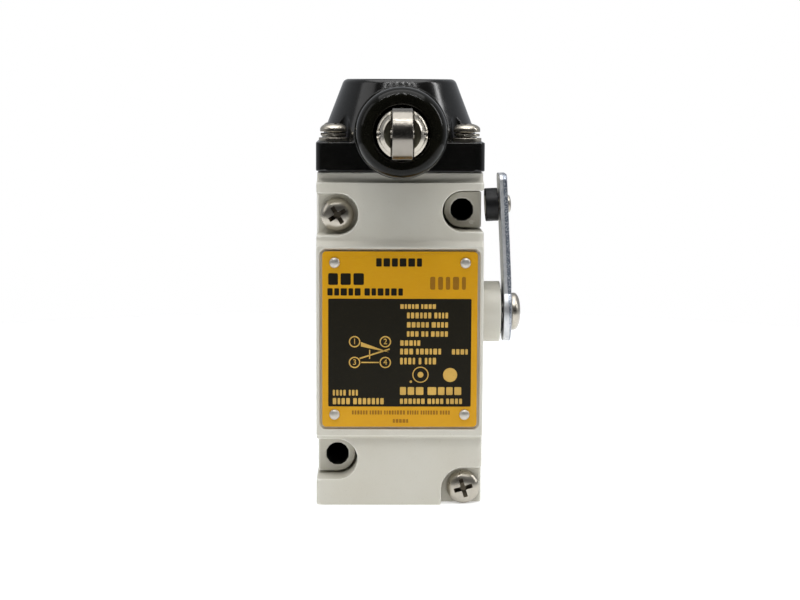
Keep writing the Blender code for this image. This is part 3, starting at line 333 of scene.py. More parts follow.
def group_flats(made):
    """Groups the vertices that lie well away from any edge."""
    mesh = made.data
    normals = numpy.empty(len(mesh.vertices) * 3)
    mesh.vertices.foreach_get("normal", normals)
    normals = normals.reshape(-1, 3)
    ends = numpy.empty(len(mesh.edges) * 2, dtype=int)
    mesh.edges.foreach_get("vertices", ends)
    ends = ends.reshape(-1, 2)
    alike = (normals[ends[:, 0]] * normals[ends[:, 1]]).sum(axis=1)
    near = numpy.zeros(len(mesh.vertices), dtype=bool)
    near[ends[alike < FLAT_ALIKE]] = True
    for ring in range(FLAT_RINGS):
        near[ends[near[ends].any(axis=1)]] = True
    group = made.vertex_groups.new(name="flat")
    group.add(numpy.flatnonzero(~near).tolist(), 1.0, "REPLACE")
    return group.name


def cast(made, keep=CAST_KEEP):
    """Remeshes a joined shape evenly, softens its edges, and thins its flats."""
    even = made.modifiers.new("even", "REMESH")
    even.mode = "VOXEL"
    even.voxel_size = CAST_VOXEL
    even.use_smooth_shade = True
    soft = made.modifiers.new("soften", "SMOOTH")
    soft.factor = 0.5
    soft.iterations = CAST_PASSES
    made = bake(made)
    flat = group_flats(made)
    thin = made.modifiers.new("thin", "DECIMATE")
    thin.ratio = keep
    thin.vertex_group = flat
    return bake(made)


def arc(centre, radius, start, end, steps):
    """Points on a circle, from one angle in degrees to another."""
    angles = [math.radians(start + (end - start) * i / steps) for i in range(steps + 1)]
    return [(centre[0] + radius * math.cos(a), centre[1] + radius * math.sin(a)) for a in angles]


def rounded_rectangle(left, right, bottom, top, radius, steps=8):
    spots = (
        ((right - radius, top - radius), 0),
        ((left + radius, top - radius), 90),
        ((left + radius, bottom + radius), 180),
        ((right - radius, bottom + radius), 270),
    )
    points = []
    for centre, start in spots:
        points += arc(centre, radius, start, start + 90, steps)
    return points


def open_pocket(centre, radius, side):
    """A round-ended slot that runs from its centre out to one side."""
    toward = 1 if side > centre[0] else -1
    points = [(side, centre[1] - toward * radius)]
    points.append((side, centre[1] + toward * radius))
    start = 90 if toward > 0 else -90
    return points + arc(centre, radius, start, start + 180, 28)


def softened(points, radius, steps=4, closed=False):
    """The same path with each corner rounded off."""
    count = len(points)
    path = []
    for i, point in enumerate(points):
        if not closed and i in (0, count - 1):
            path.append(tuple(point))
            continue
        here = Vector(point)
        back = Vector(points[i - 1]) - here
        ahead = Vector(points[(i + 1) % count]) - here
        reach = min(radius, back.length * 0.45, ahead.length * 0.45)
        start = here + back.normalized() * reach
        end = here + ahead.normalized() * reach
        for step in range(steps + 1):
            t = step / steps
            path.append(tuple(start * (1 - t) ** 2 + here * 2 * t * (1 - t) + end * t**2))
    return path


def aimed(made, place, direction, turn=0.0):
    """Stands a piece made along +Z at a place, facing a direction."""
    matrix = Matrix.Translation(place)
    matrix @= Vector(direction).to_track_quat("Z", "Y").to_matrix().to_4x4()
    made.data.transform(matrix @ Matrix.Rotation(math.radians(turn), 4, "Z"))
    return made


def install(made, body, slot, *nodes, look=None, hidden=None, inner=None, bevel=0.0, segments=3):
    """Scales a finished piece to metres and sets it on a body, in place of nodes.

    The hidden test takes a face and says whether it wears the inner look.
    """
    recessed = [index for index, face in enumerate(made.data.polygons) if hidden and hidden(face)]
    made.data.transform(Matrix.Scale(MM, 4))
    made.data.materials.clear()
    made.data.materials.append(look or LOOKS[slot])
    if recessed:
        made.data.materials.append(inner)
        for index in recessed:
            made.data.polygons[index].material_index = 1
    if bevel:
        edge = made.modifiers.new("edge", "BEVEL")
        edge.width = bevel * MM
        edge.segments = segments
        edge.limit_method = "ANGLE"
        edge.angle_limit = SHARP_ANGLE
        edge.use_clamp_overlap = False
    normals = made.modifiers.new("normals", "WEIGHTED_NORMAL")
    normals.keep_sharp = not bevel
    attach(made, body)
    if nodes:
        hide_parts(*nodes)
    return made


# ----------------------------------------------------------------- materials


def linear(value):
    """One sRGB channel from 0 to 255 as a linear value."""
    value /= 255.0
    return value / 12.92 if value <= 0.04045 else ((value + 0.055) / 1.055) ** 2.4


def rgba(colour):
    return (*map(linear, colour), 1.0)


class Look:
    """A procedural material, built up in steps on one Principled shader."""

    def __init__(self, name, colour, roughness, metallic=0.0):
        self.material = bpy.data.materials.new("look_" + name)
        self.material.use_nodes = True
        self.tree = self.material.node_tree
        self.shader = self.tree.nodes["Principled BSDF"]
        self.shader.inputs["Base Color"].default_value = rgba(colour)
        self.shader.inputs["Roughness"].default_value = roughness
        self.shader.inputs["Metallic"].default_value = metallic
        self.material.diffuse_color = rgba(colour)
        self.place = self.node("ShaderNodeTexCoord").outputs["Object"]
        self.colour = None
        self.normal = None

    def node(self, kind, **settings):
        made = self.tree.nodes.new(kind)
        for key, value in settings.items():
            setattr(made, key, value)
        return made

    def link(self, source, target):
        self.tree.links.new(source, target)

    def set(self, **values):
        """Sets constants on the shader's own sockets."""
        for key, value in values.items():
            self.shader.inputs[key.replace("_", " ")].default_value = value
        return self

    def mapped(self, size, stretch=(1, 1, 1), centre=(0, 0, 0)):
        """Object coordinates in which one unit is size millimetres."""
        scale = [s / (size * MM) for s in stretch]
        mapping = self.node("ShaderNodeMapping")
        mapping.inputs["Scale"].default_value = scale
        mapping.inputs["Location"].default_value = [-c * MM * s for c, s in zip(centre, scale)]
        self.link(self.place, mapping.inputs["Vector"])
        return mapping.outputs["Vector"]

    def noise(self, size, detail=3.0, stretch=(1, 1, 1)):
        made = self.node("ShaderNodeTexNoise")
        made.inputs["Scale"].default_value = 1.0
        made.inputs["Detail"].default_value = detail
        self.link(self.mapped(size, stretch), made.inputs["Vector"])
        return made.outputs["Fac"]

    def rings(self, size, axis, centre):
        """Rings about an axis, as a lathe tool leaves them."""
        made = self.node("ShaderNodeTexWave", wave_type="RINGS", rings_direction=axis)
        made.inputs["Scale"].default_value = 0.5
        made.inputs["Distortion"].default_value = 0.6
        made.inputs["Detail"].default_value = 2.0
        made.inputs["Detail Scale"].default_value = 1.5
        self.link(self.mapped(size, centre=centre), made.inputs["Vector"])
        return made.outputs["Fac"]

    def convex(self, start, end):
        """From 0 on flats to 1 on outward edges."""
        return self.span(self.node("ShaderNodeNewGeometry").outputs["Pointiness"], start, end)

    def concave(self):
        """From 0 on flats to 1 in inward corners."""
        return self.convex(0.485, 0.43)

    def maths(self, operation, *sources):
        made = self.node("ShaderNodeMath", operation=operation)
        for index, source in enumerate(sources):
            if isinstance(source, float):
                made.inputs[index].default_value = source
            else:
                self.link(source, made.inputs[index])
        return made.outputs["Value"]

    def part(self, vector, axis):
        """One coordinate of a vector."""
        made = self.node("ShaderNodeSeparateXYZ")
        self.link(vector, made.inputs["Vector"])
        return made.outputs[axis]

    def both(self, first, second):
        """Near 1 only where both sources are."""
        return self.maths("MULTIPLY", first, second)

    def band(self, axis, low, high):
        """1 where an axis' coordinate, either side of 0, is from low to high millimetres."""
        away = self.maths("ABSOLUTE", self.part(self.place, axis))
        above = self.span(away, (low - BAND_EDGE) * MM, low * MM)
        below = self.span(away, (high + BAND_EDGE) * MM, high * MM)
        return self.both(above, below)

    def span(self, source, low, high, to_low=0.0, to_high=1.0):
        made = self.node("ShaderNodeMapRange")
        for key, value in (
            ("From Min", low),
            ("From Max", high),
            ("To Min", to_low),
            ("To Max", to_high),
        ):
            made.inputs[key].default_value = value
        self.link(source, made.inputs["Value"])
        return made.outputs["Result"]

    def tint(self, source, colour, amount=1.0):
        """Mixes a colour in where source is near 1."""
        mix = self.node("ShaderNodeMix", data_type="RGBA")
        self.link(self.span(source, 0.0, 1.0, 0.0, amount), mix.inputs["Factor"])
        if self.colour:
            self.link(self.colour, mix.inputs["A"])
        else:
            mix.inputs[6].default_value = self.shader.inputs["Base Color"].default_value
        mix.inputs[7].default_value = rgba(colour)
        self.colour = mix.outputs[2]
        self.link(self.colour, self.shader.inputs["Base Color"])
        return self

    def clouds(self, size, colour, amount, low=0.4, high=0.7, detail=3.0, stretch=(1, 1, 1)):
        """Mixes a colour in as patches, size millimetres across."""
        patches = self.span(self.noise(size, detail, stretch), low, high)
        return self.tint(patches, colour, amount)

    def gloss(self, source, low, high):
        """Spreads roughness from low to high with source."""
        reached = self.span(source, 0.3, 0.7, low, high)
        self.link(reached, self.shader.inputs["Roughness"])
        return self

    def bump(self, source, depth, strength=1.0):
        """Raises the surface by up to depth millimetres with source."""
        made = self.node("ShaderNodeBump")
        made.inputs["Strength"].default_value = strength
        made.inputs["Distance"].default_value = depth * MM
        self.link(source, made.inputs["Height"])
        if self.normal:
            self.link(self.normal, made.inputs["Normal"])
        self.normal = made.outputs["Normal"]
        self.link(self.normal, self.shader.inputs["Normal"])
        return self


def cream_paint():
    look = Look("cream_paint", (203, 200, 188), 0.5)
    look.clouds(14.0, (196, 191, 176), 0.6, 0.35, 0.7)
    look.clouds(0.5, (178, 171, 155), 0.35, 0.62, 0.75, 2.0)
    # Painted highlight: outward edges are lightened
    look.tint(look.convex(0.516, 0.56), (236, 234, 226), 0.7)
    # Painted shade: inward corners are darkened
    look.tint(look.concave(), (150, 143, 128), 0.5)
    look.gloss(look.noise(2.5), 0.42, 0.58)
    look.bump(look.noise(0.7, 2.0), 0.02, 0.6)
    look.bump(look.noise(4.0, 2.0), 0.05, 0.4)
    return look.material


def black_enamel():
    look = Look("black_enamel", (9, 9, 8), 0.24)
    look.clouds(9.0, (14, 12, 10), 0.6)
    # Painted highlight: outward edges are lightened to a thin grey line
    look.tint(look.convex(0.54, 0.62), (52, 48, 42), 0.5)
    # Painted highlight: the screw pockets' edges are made bright
    pockets = look.both(look.band("X", *POCKET_SPAN), look.band("Z", *POCKET_HIGHLIGHT_Z))
    look.tint(look.both(look.convex(0.53, 0.58), pockets), (176, 168, 150), 0.85)
    look.set(Specular_IOR_Level=0.42)
    look.gloss(look.noise(3.0), 0.13, 0.21)
    look.bump(look.noise(1.6, 2.0), 0.006, 0.3)
    return look.material


def rubber():
    look = Look("rubber", (13, 13, 9), 0.2)
    look.set(Specular_IOR_Level=0.15)
    look.clouds(5.0, (20, 19, 13), 0.5)
    look.clouds(0.35, (34, 32, 26), 0.2, 0.6, 0.75, 3.0)
    look.gloss(look.noise(2.4), 0.09, 0.14)
    look.bump(look.noise(0.9, 2.0), 0.003, 0.3)
    return look.material


def gasket_rubber():
    look = Look("gasket_rubber", (22, 22, 21), 0.7)
    look.clouds(2.0, (34, 33, 30), 0.6)
    look.gloss(look.noise(0.8), 0.6, 0.8)
    look.bump(look.noise(0.3, 3.0), 0.02, 0.7)
    return look.material


def machined(name, colour, axis, centre, low=0.16, high=0.3):
    """Turned steel with ring marks about an axis."""
    look = Look(name, colour, 0.25, 1.0)
    marks = look.rings(0.16, axis, centre)
    look.tint(marks, [c * 0.9 for c in colour], 0.5)
    look.clouds(3.0, [c * 0.84 for c in colour], 0.5, 0.45, 0.75)
    look.gloss(look.noise(0.9), low, high)
    look.bump(marks, 0.004, 0.35)
    look.bump(look.noise(0.6, 2.0), 0.008, 0.3)
    return look.material


def plated(name, colour, low, high, grain=0.8):
    """Barrel-plated steel: cloudy, with small dents, and painted shade that darkens its hollows."""
    look = Look(name, colour, 0.28, 1.0)
    look.clouds(2.6, [c * 0.88 for c in colour], 0.5)
    # Painted shade: inward hollows are darkened
    look.tint(look.concave(), [c * 0.45 for c in colour], 0.8)
    look.gloss(look.noise(grain), low, high)
    look.bump(look.noise(0.9, 2.0), 0.002, 0.3)
    return look.material


def zinc():
    """Zinc-plated sheet, whose sheared edges are dark and speckled."""
    look = Look("zinc", (206, 207, 208), 0.42, 0.8)
    look.clouds(1.2, (184, 187, 191), 0.7)
    across = look.maths("ABSOLUTE", look.part(look.node("ShaderNodeTexCoord").outputs["Normal"], "X"))
    slope = math.tan(math.radians(ARM_LEAN))
    upright = look.maths(
        "MULTIPLY_ADD", look.part(look.place, "Z"), slope, look.part(look.place, "X")
    )
    torn = look.span(upright, ARM_TEAR * MM, (ARM_TEAR + 0.15) * MM)
    sheared = look.both(torn, look.span(across, 0.75, 0.45))
    look.tint(sheared, (96, 104, 118), 0.9)
    flecks = look.span(look.noise(0.3, 2.0), 0.5, 0.56)
    look.tint(look.both(sheared, flecks), (196, 200, 206), 0.8)
    look.gloss(look.noise(0.5), 0.3, 0.5)
    look.bump(look.noise(0.25, 2.0), 0.02, 0.5)
    return look.material


def yellow_plate():
    look = Look("yellow_plate", (212, 155, 5), 0.36)
    look.set(Specular_IOR_Level=0.3)
    look.clouds(11.0, (204, 147, 3), 0.7, 0.35, 0.7)
    look.clouds(0.25, (216, 166, 22), 0.3, 0.5, 0.75, 2.0, (0.2, 1, 1))
    look.gloss(look.noise(0.6, 3.0, (0.15, 1, 1)), 0.3, 0.42)
    look.bump(look.noise(0.22, 2.0, (0.1, 1, 1)), 0.004, 0.4)
    return look.material


def ink(name, colour, worn):
    """Printed ink, thin in places."""
    look = Look(name, colour, 0.42)
    look.set(Specular_IOR_Level=0.15)
    look.clouds(6.0, [c * 0.82 for c in colour], 0.5)
    look.clouds(0.22, worn, 0.35, 0.6, 0.72, 3.0)
    look.gloss(look.noise(0.7), 0.36, 0.5)
    look.bump(look.noise(0.18, 2.0), 0.003, 0.5)
    return look.material


def plastic(name, colour, low, high):
    """Moulded plastic with a fine spark-eroded grain."""
    look = Look(name, colour, (low + high) / 2)
    look.set(Specular_IOR_Level=0.3)
    look.clouds(4.0, [c * 0.88 for c in colour], 0.6)
    look.gloss(look.noise(0.7), low, high)
    look.bump(look.noise(0.25, 3.0), 0.01, 0.5)
    return look.material


def phenolic():
    look = Look("phenolic", (34, 29, 26), 0.48)
    look.clouds(0.5, (64, 52, 42), 0.6, 0.55, 0.7, 4.0)
    look.gloss(look.noise(1.0), 0.38, 0.55)
    look.bump(look.noise(0.4, 3.0), 0.012, 0.6)
    return look.material


def recess_grime():
    """Painted shade: a dark colour for the shaded bores of the fixing holes."""
    look = Look("recess_grime", (20, 18, 15), 0.6)
    look.clouds(1.2, (34, 30, 24), 0.6)
    look.gloss(look.noise(0.6), 0.45, 0.7)
    look.bump(look.noise(0.3, 2.0), 0.01, 0.5)
    return look.material


HOLE_SHADE = recess_grime()
# Painted shade for driver recesses: a darker plated look
RECESS_SHADE = plated("recess", (112, 104, 90), 0.4, 0.6)
LOOKS = {
    "cream_paint": cream_paint(),
    "black_enamel": black_enamel(),
    "rubber": rubber(),
    "gasket_rubber": gasket_rubber(),
    "black_oxide": plated("black_oxide", (24, 23, 21), 0.4, 0.55),
    "stainless": machined("stainless", (186, 180, 168), "Y", (0, 0, 49.0), 0.2, 0.3),
    "nickel": plated("nickel", (182, 176, 164), 0.26, 0.36, 1.6),
    "zinc": zinc(),
    "yellow_plate": yellow_plate(),
    "black_nylon": plastic("black_nylon", (7, 7, 8), 0.4, 0.52),
    "phenolic": phenolic(),
    "unit_plastic": plastic("unit_plastic", (208, 200, 178), 0.4, 0.55),
    "contact_brass": plated("contact_brass", (206, 168, 98), 0.26, 0.4),
    "bronze": plated("bronze", (164, 120, 74), 0.35, 0.5),
    "spring_steel": plated("spring_steel", (150, 150, 152), 0.25, 0.4),
}


# ------------------------------------------------------------------ castings


def inner_outline(inset):
    """The inside of the castings, stepped in round the corner screws."""
    side = 19.3 - inset
    step = 9.4 - inset
    top = 34.1 - inset
    upper = 24.2 - inset
    lower_right = -31.5 + inset
    lower_left = -24.2 + inset
    bottom = -40.8 + inset
    return [
        (-step, top), (step, top), (step, upper), (side, upper), (side, lower_right),
        (step, lower_right), (step, bottom), (-step, bottom), (-step, lower_left),
        (-side, lower_left), (-side, upper), (-step, upper),
    ]


def box_shell(low, high, centre):
    """The outside of the front casting, before anything is cut into it."""
    wide = -low.x
    made = prism(
        "switch_box_casting",
        "Z",
        rounded_rectangle(-wide, wide, BOX_FRONT_Y, BOX_REAR_Y, CASTING_CORNER),
        low.z,
        SHOULDER_Z,
    )
    band_outline = rounded_rectangle(-wide, wide, BOX_FRONT_Y, high.y, CASTING_CORNER)
    band = prism("band", "Z", band_outline, PLATE_BOTTOM_Z, SHOULDER_Z)
    slope = prism("slope", "Z", band_outline, PLATE_BOTTOM_Z, NECK_BASE_Z)
    middle_y = (BOX_FRONT_Y + high.y) / 2
    depth = high.y - BOX_FRONT_Y
    for vert in slope.data.vertices:
        if vert.co.z > SHOULDER_Z:
            vert.co.x *= 1 - NECK_SIDE / wide
            vert.co.y = middle_y + (vert.co.y - middle_y) * (1 - 2 * NECK_INSET / depth)
    neck = prism(
        "neck",
        "Z",
        rounded_rectangle(
            NECK_SIDE - wide,
            wide - NECK_SIDE,
            BOX_FRONT_Y + NECK_INSET,
            high.y - NECK_INSET,
            CASTING_CORNER,
        ),
        SHOULDER_Z - OVER,
        high.z,
    )
    panel = prism(
        "panel",
        "X",
        [
            (low.y, PANEL_BOTTOM_Z), (low.y, PANEL_TOP_Z - PANEL_CHAMFER),
            (BOX_FRONT_Y, PANEL_TOP_Z), (BOX_FRONT_Y + OVER, PANEL_TOP_Z),
            (BOX_FRONT_Y + OVER, PANEL_BOTTOM_Z),
        ],
        -wide,
        wide,
    )
    boss = cylinder("boss", "X", centre, SIDE_BOSS, wide - SIDE_WALL, high.x)
    return join(made, band, slope, neck, panel, boss)


def box_pockets(low, high):
    """The four corner pockets, each open to the outside of the casting."""
    front = low.y - OVER
    beyond = high.x + OVER
    pockets = []
    for sign in (1, -1):
        shape = open_pocket((sign * HOLE_X, sign * HOLE_Z), HOLE_POCKET, sign * beyond)
        pockets.append(prism("hole_pocket", "Y", shape, front, BOX_REAR_Y + OVER))
    x, z, radius = UPPER_POCKET
    shape = open_pocket((x, z), radius, -beyond)
    pockets.append(prism("upper_pocket", "Y", shape, front, UPPER_FLOOR_Y))
    x, z, radius = LOWER_NOTCH
    shape = [(x - radius, low.z - OVER), (beyond, low.z - OVER), (beyond, z + radius)]
    shape += arc((x, z), radius, 90, 180, 14)
    pockets.append(prism("lower_notch", "Y", shape, front, LOWER_FLOOR_Y))
    return pockets


def switch_box():
    low, high = corners("switch_box")
    axis = joint_place("lever_swing")
    centre = (axis.y, axis.z)
    made = box_shell(low, high, centre)
    inside = prism("inside", "Y", inner_outline(BOX_WALL), CAVITY_FRONT_Y, BOX_REAR_Y + OVER)
    cut(made, inside)
    reach = -low.x - SIDE_WALL + OVER
    join(made, cylinder("inner_boss", "X", centre, SIDE_BOSS, SIDE_BOSS_INNER, reach))
    cutters = box_pockets(low, high)
    for node in ("box_screw_upper", "box_screw_lower"):
        middle = middle_of(node)
        ends = (low.y - OVER, BOX_REAR_Y + OVER)
        cutters.append(cylinder("screw_hole", "Y", (middle.x, middle.z), BOX_SCREW_BORE, *ends, 32))
    plate_low, plate_high = corners("nameplate")
    recess = rounded_rectangle(
        plate_low.x - RECESS_MARGIN,
        plate_high.x + RECESS_MARGIN,
        plate_low.z - RECESS_MARGIN,
        plate_high.z + RECESS_MARGIN,
        1.0 + RECESS_MARGIN,
    )
    cutters.append(prism("plate_recess", "Y", recess, low.y - OVER, RECESS_FLOOR_Y))
    top = high.z + OVER
    for spot in HEAD_SCREWS:
        cutters.append(cylinder("head_thread", "Z", spot, HEAD_THREAD, PLATE_BOTTOM_Z + 0.3, top, 32))
    spot = (0, axis.y + GUIDE_OFFSET)
    cutters.append(cylinder("guide_bore", "Z", spot, GUIDE_BORE, GUIDE_BOTTOM, top))
    profile = [
        (0, SIDE_BOSS_INNER - OVER), (BUSH_BORE, SIDE_BOSS_INNER - OVER),
        (BUSH_BORE, SEAL_SEAT), (SEAL_BORE, SEAL_SEAT), (SEAL_BORE, high.x + OVER),
        (0, high.x + OVER),
    ]
    cutters.append(turned("shaft_bore", "X", centre, profile))
    cutters.append(box("cam_relief", *CAM_RELIEF))
    install(cast(cut(made, *cutters)), "housing", "cream_paint", "switch_box")


def receptacle():
    low, high = corners("receptacle")
    front = corners("box_gasket")[1].y + GASKET_GAP
    outline = rounded_rectangle(low.x, high.x, low.z, high.z, CASTING_CORNER)
    made = prism("receptacle_casting", "Y", outline, high.y, front)
    side = high.x - SIDE_WALL
    cut(
        made,
        box("cavity", (-side, front - OVER, low.z + FLOOR), (side, -BACK_WALL, high.z - SIDE_WALL)),
    )
    rooted = -BACK_WALL / 2
    bosses = []
    for sign in (1, -1):
        shape = open_pocket((sign * HOLE_X, sign * HOLE_Z), HOLE_BOSS, sign * HOLE_BOSS_SIDE)
        bosses.append(prism("hole_boss", "Y", shape, low.y, rooted))
    x, z, _ = UPPER_POCKET
    bosses.append(
        box("screw_boss", (-side - OVER, front, z - SCREW_BOSS), (x + SCREW_BOSS, rooted, high.z - OVER))
    )
    join(made, *bosses)
    cutters = [
        cylinder("fixing_hole", "Y", spot, HOLE_RADIUS, low.y - OVER, OVER)
        for spot in ((HOLE_X, HOLE_Z), (-HOLE_X, -HOLE_Z))
    ]
    for node in ("box_screw_upper", "box_screw_lower"):
        middle = middle_of(node)
        ends = (front - OVER, corners(node)[1].y + OVER)
        cutters.append(cylinder("tapped", "Y", (middle.x, middle.z), BOX_SCREW_BORE, *ends, 32))
    inner = low.z + FLOOR + OVER
    cutters.append(cylinder("conduit", "Z", (0, CONDUIT_Y), CONDUIT_RADIUS, low.z - OVER, inner))
    inside_hole = HOLE_RADIUS + 0.3

    def in_fixing_hole(face):
        x, y, z = face.center
        away = min(math.hypot(x - s * HOLE_X, z - s * HOLE_Z) for s in (1, -1))
        return away < inside_hole and y > low.y + 0.15

    made = cast(cut(made, *cutters))
    # The bores of the fixing holes wear painted shade
    install(made, "housing", "cream_paint", "receptacle", hidden=in_fixing_hole, inner=HOLE_SHADE)


def hole_plugs():
    """Rubber plugs pressed into the rear ends of the fixing holes, which block the view through them and
    stand in for the shade seen down the holes.
    """
    for number, sign in ((1, 1), (2, -1)):
        node = "hole_plug_%d" % number
        low, high = corners(node)
        tight = HOLE_RADIUS + 0.1
        profile = [
            (0, low.y - 0.6), (1.4, low.y - 0.5), (2.2, low.y - 0.1), (tight, low.y + 0.5),
            (tight, high.y), (0, high.y),
        ]
        centre = (sign * HOLE_X, sign * HOLE_Z)
        made = turned(node + "_fine", "Y", centre, profile, 40)
        install(made, "housing", "gasket_rubber", node)


def head():
    low, high = corners("head_housing")
    mid_y = (low.y + high.y) / 2
    axle = (0, joint_place("plunger_roller_spin").z)
    half = high.x
    depth = high.y - mid_y
    made = prism(
        "head_casting",
        "Z",
        rounded_rectangle(-half, half, mid_y - depth, mid_y + depth, FLANGE_CORNER),
        low.z,
        FLANGE_TOP_Z,
    )
    base = FLANGE_TOP_Z - OVER
    lean = math.degrees(math.atan2(CONE_BASE - CONE_TOP, high.z - base))
    edge = arc((CONE_TOP - CONE_ROUND, high.z - CONE_ROUND), CONE_ROUND, lean, 90, 10)
    profile = [(0, base), (CONE_BASE, base), *edge, (0, high.z)]
    cone = turned("cone", "Z", (0, mid_y), profile, 160)
    boss = cylinder("boss", "Y", axle, HEAD_BOSS, mid_y - 8.0, low.y)
    join(made, cone, boss)
    cutters = []
    bore = (HEAD_SCREW_BORE, low.z - OVER, FLANGE_TOP_Z + OVER, 32)
    for spot in HEAD_SCREWS:
        cutters.append(cylinder("pocket", "Z", spot, HEAD_POCKET, FLANGE_TOP_Z - 0.2, high.z + OVER))
        cutters.append(cylinder("screw_hole", "Z", spot, *bore))
    sleeve_back = corners("plunger_bearing")[1].y + 0.3
    profile = [
        (0, HEAD_BORE_BACK), (HEAD_BORE, HEAD_BORE_BACK), (HEAD_BORE, sleeve_back),
        (SLEEVE_BORE, sleeve_back), (SLEEVE_BORE, low.y - OVER), (0, low.y - OVER),
    ]
    cutters.append(turned("plunger_bore", "Y", axle, profile))
    rod = (0, middle_of("push_rod").y)
    cutters.append(cylinder("rod_hole", "Z", rod, ROD_BORE, low.z - OVER, axle[1] - 1.0, 32))
    made = cast(cut(made, *cutters), HEAD_KEEP)
    install(made, "housing", "black_enamel", "head_housing")


# ----------------------------------------------------------------- nameplate

INK_HEIGHT = 0.025
PANEL_HEIGHT = 0.02
INK_ROOT = 0.005  # how far ink starts below the face that it lies on
PANEL_INK = (-17.1, 17.1, -16.85, 9.2)  # left, right, bottom and top of the black panel
RATINGS = (  # left, right, bottom and top of each row, and the letters in its words
    (0.1, 8.6, 6.8, 7.9, (5, 4)),
    (1.7, 11.5, 4.5, 5.9, (6, 4)),
    (1.7, 11.5, 2.3, 3.6, (5, 4)),
    (1.7, 11.5, 0.1, 1.4, (3, 2, 4)),
    (0.1, 4.9, -2.1, -0.8, (5,)),
    (0.1, 9.9, -4.2, -2.8, (3, 6)),
    (12.5, 16.3, -4.2, -2.9, (4,)),
    (0.1, 8.7, -6.6, -5.0, (4, 1, 3)),
    (0.1, 14.8, -14.0, -12.1, (3, 4)),
    (0.1, 15.0, -16.2, -14.9, (6, 4, 4)),
    (-16.0, -10.0, -14.2, -12.8, (4, 3)),
    (-16.0, -3.8, -16.3, -14.8, (4, 7)),
)
RATINGS_SEED = 15


def word_blocks(left, right, low, high, words, seed):
    """Blank blocks that fill a row of print: (left, right) of each block."""
    rng = random.Random(seed)
    size = high - low
    shares = [rng.uniform(0.75, 1.25) for _ in range(sum(words))]
    gaps = sum(words) - 1 + 1.4 * (len(words) - 1)
    gap = 0.22 * size
    unit = (right - left - gap * gaps) / sum(shares)
    blocks = []
    x = left
    number = 0
    for word in words:
        for _ in range(word):
            width = unit * shares[number]
            blocks.append((x, x + width))
            x += width + gap
            number += 1
        x += 1.4 * gap
    return blocks


def printed(name, face_y, shapes, look):
    """Thin ink on a face that looks to -Y, from closed outlines in X and Z."""
    bm = bmesh.new()
    for outline, thick in shapes:
        extrude(bm, [(x, face_y + INK_ROOT, z) for x, z in outline], (0, -thick - INK_ROOT, 0))
    bmesh.ops.recalc_face_normals(bm, faces=bm.faces)
    install(placed(name, mesh_from(name, bm)), "housing", "yellow_plate", look=look)


def row(left, right, low, high, words, seed):
    return [
        (rounded_rectangle(a, b, low, high, 0.12 * (high - low), 3), INK_HEIGHT)
        for a, b in word_blocks(left, right, low, high, words, seed)
    ]


def circle_line(centre, radius, width):
    """A ring of ink as a chain of quads, so that its middle stays open."""
    outer = arc(centre, radius, 0, 360, 40)
    inner = arc(centre, radius - width, 0, 360, 40)
    return [([outer[i], outer[i + 1], inner[i + 1], inner[i]], INK_HEIGHT) for i in range(40)]


def stroke(start, end, width):
    """A straight line of ink with square ends."""
    a = Vector(start)
    b = Vector(end)
    along = (b - a).normalized() * (width / 2)
    side = Vector((-along.y, along.x))
    return ([tuple(a - side), tuple(b - side), tuple(b + side), tuple(a + side)], INK_HEIGHT)


def numerals(face_y, centres, size, look):
    """The terminal numbers 1 to 4 beside the contact symbol."""
    for number, (x, z) in enumerate(centres, 1):
        curve = bpy.data.curves.new("numeral", "FONT")
        curve.body = str(number)
        curve.size = size
        curve.extrude = INK_HEIGHT / 2
        curve.align_x = "CENTER"
        curve.align_y = "CENTER"
        text = placed("numeral", curve)
        bpy.context.view_layer.update()
        mesh = bpy.data.meshes.new_from_object(text)
        bpy.data.objects.remove(text)
        made = placed("terminal_number_%d" % number, mesh)
        mesh.transform(Matrix.Rotation(math.radians(90), 4, "X"))
        mesh.transform(Matrix.Translation((x, face_y - INK_HEIGHT / 2, z)))
        install(made, "housing", "yellow_plate", look=look)


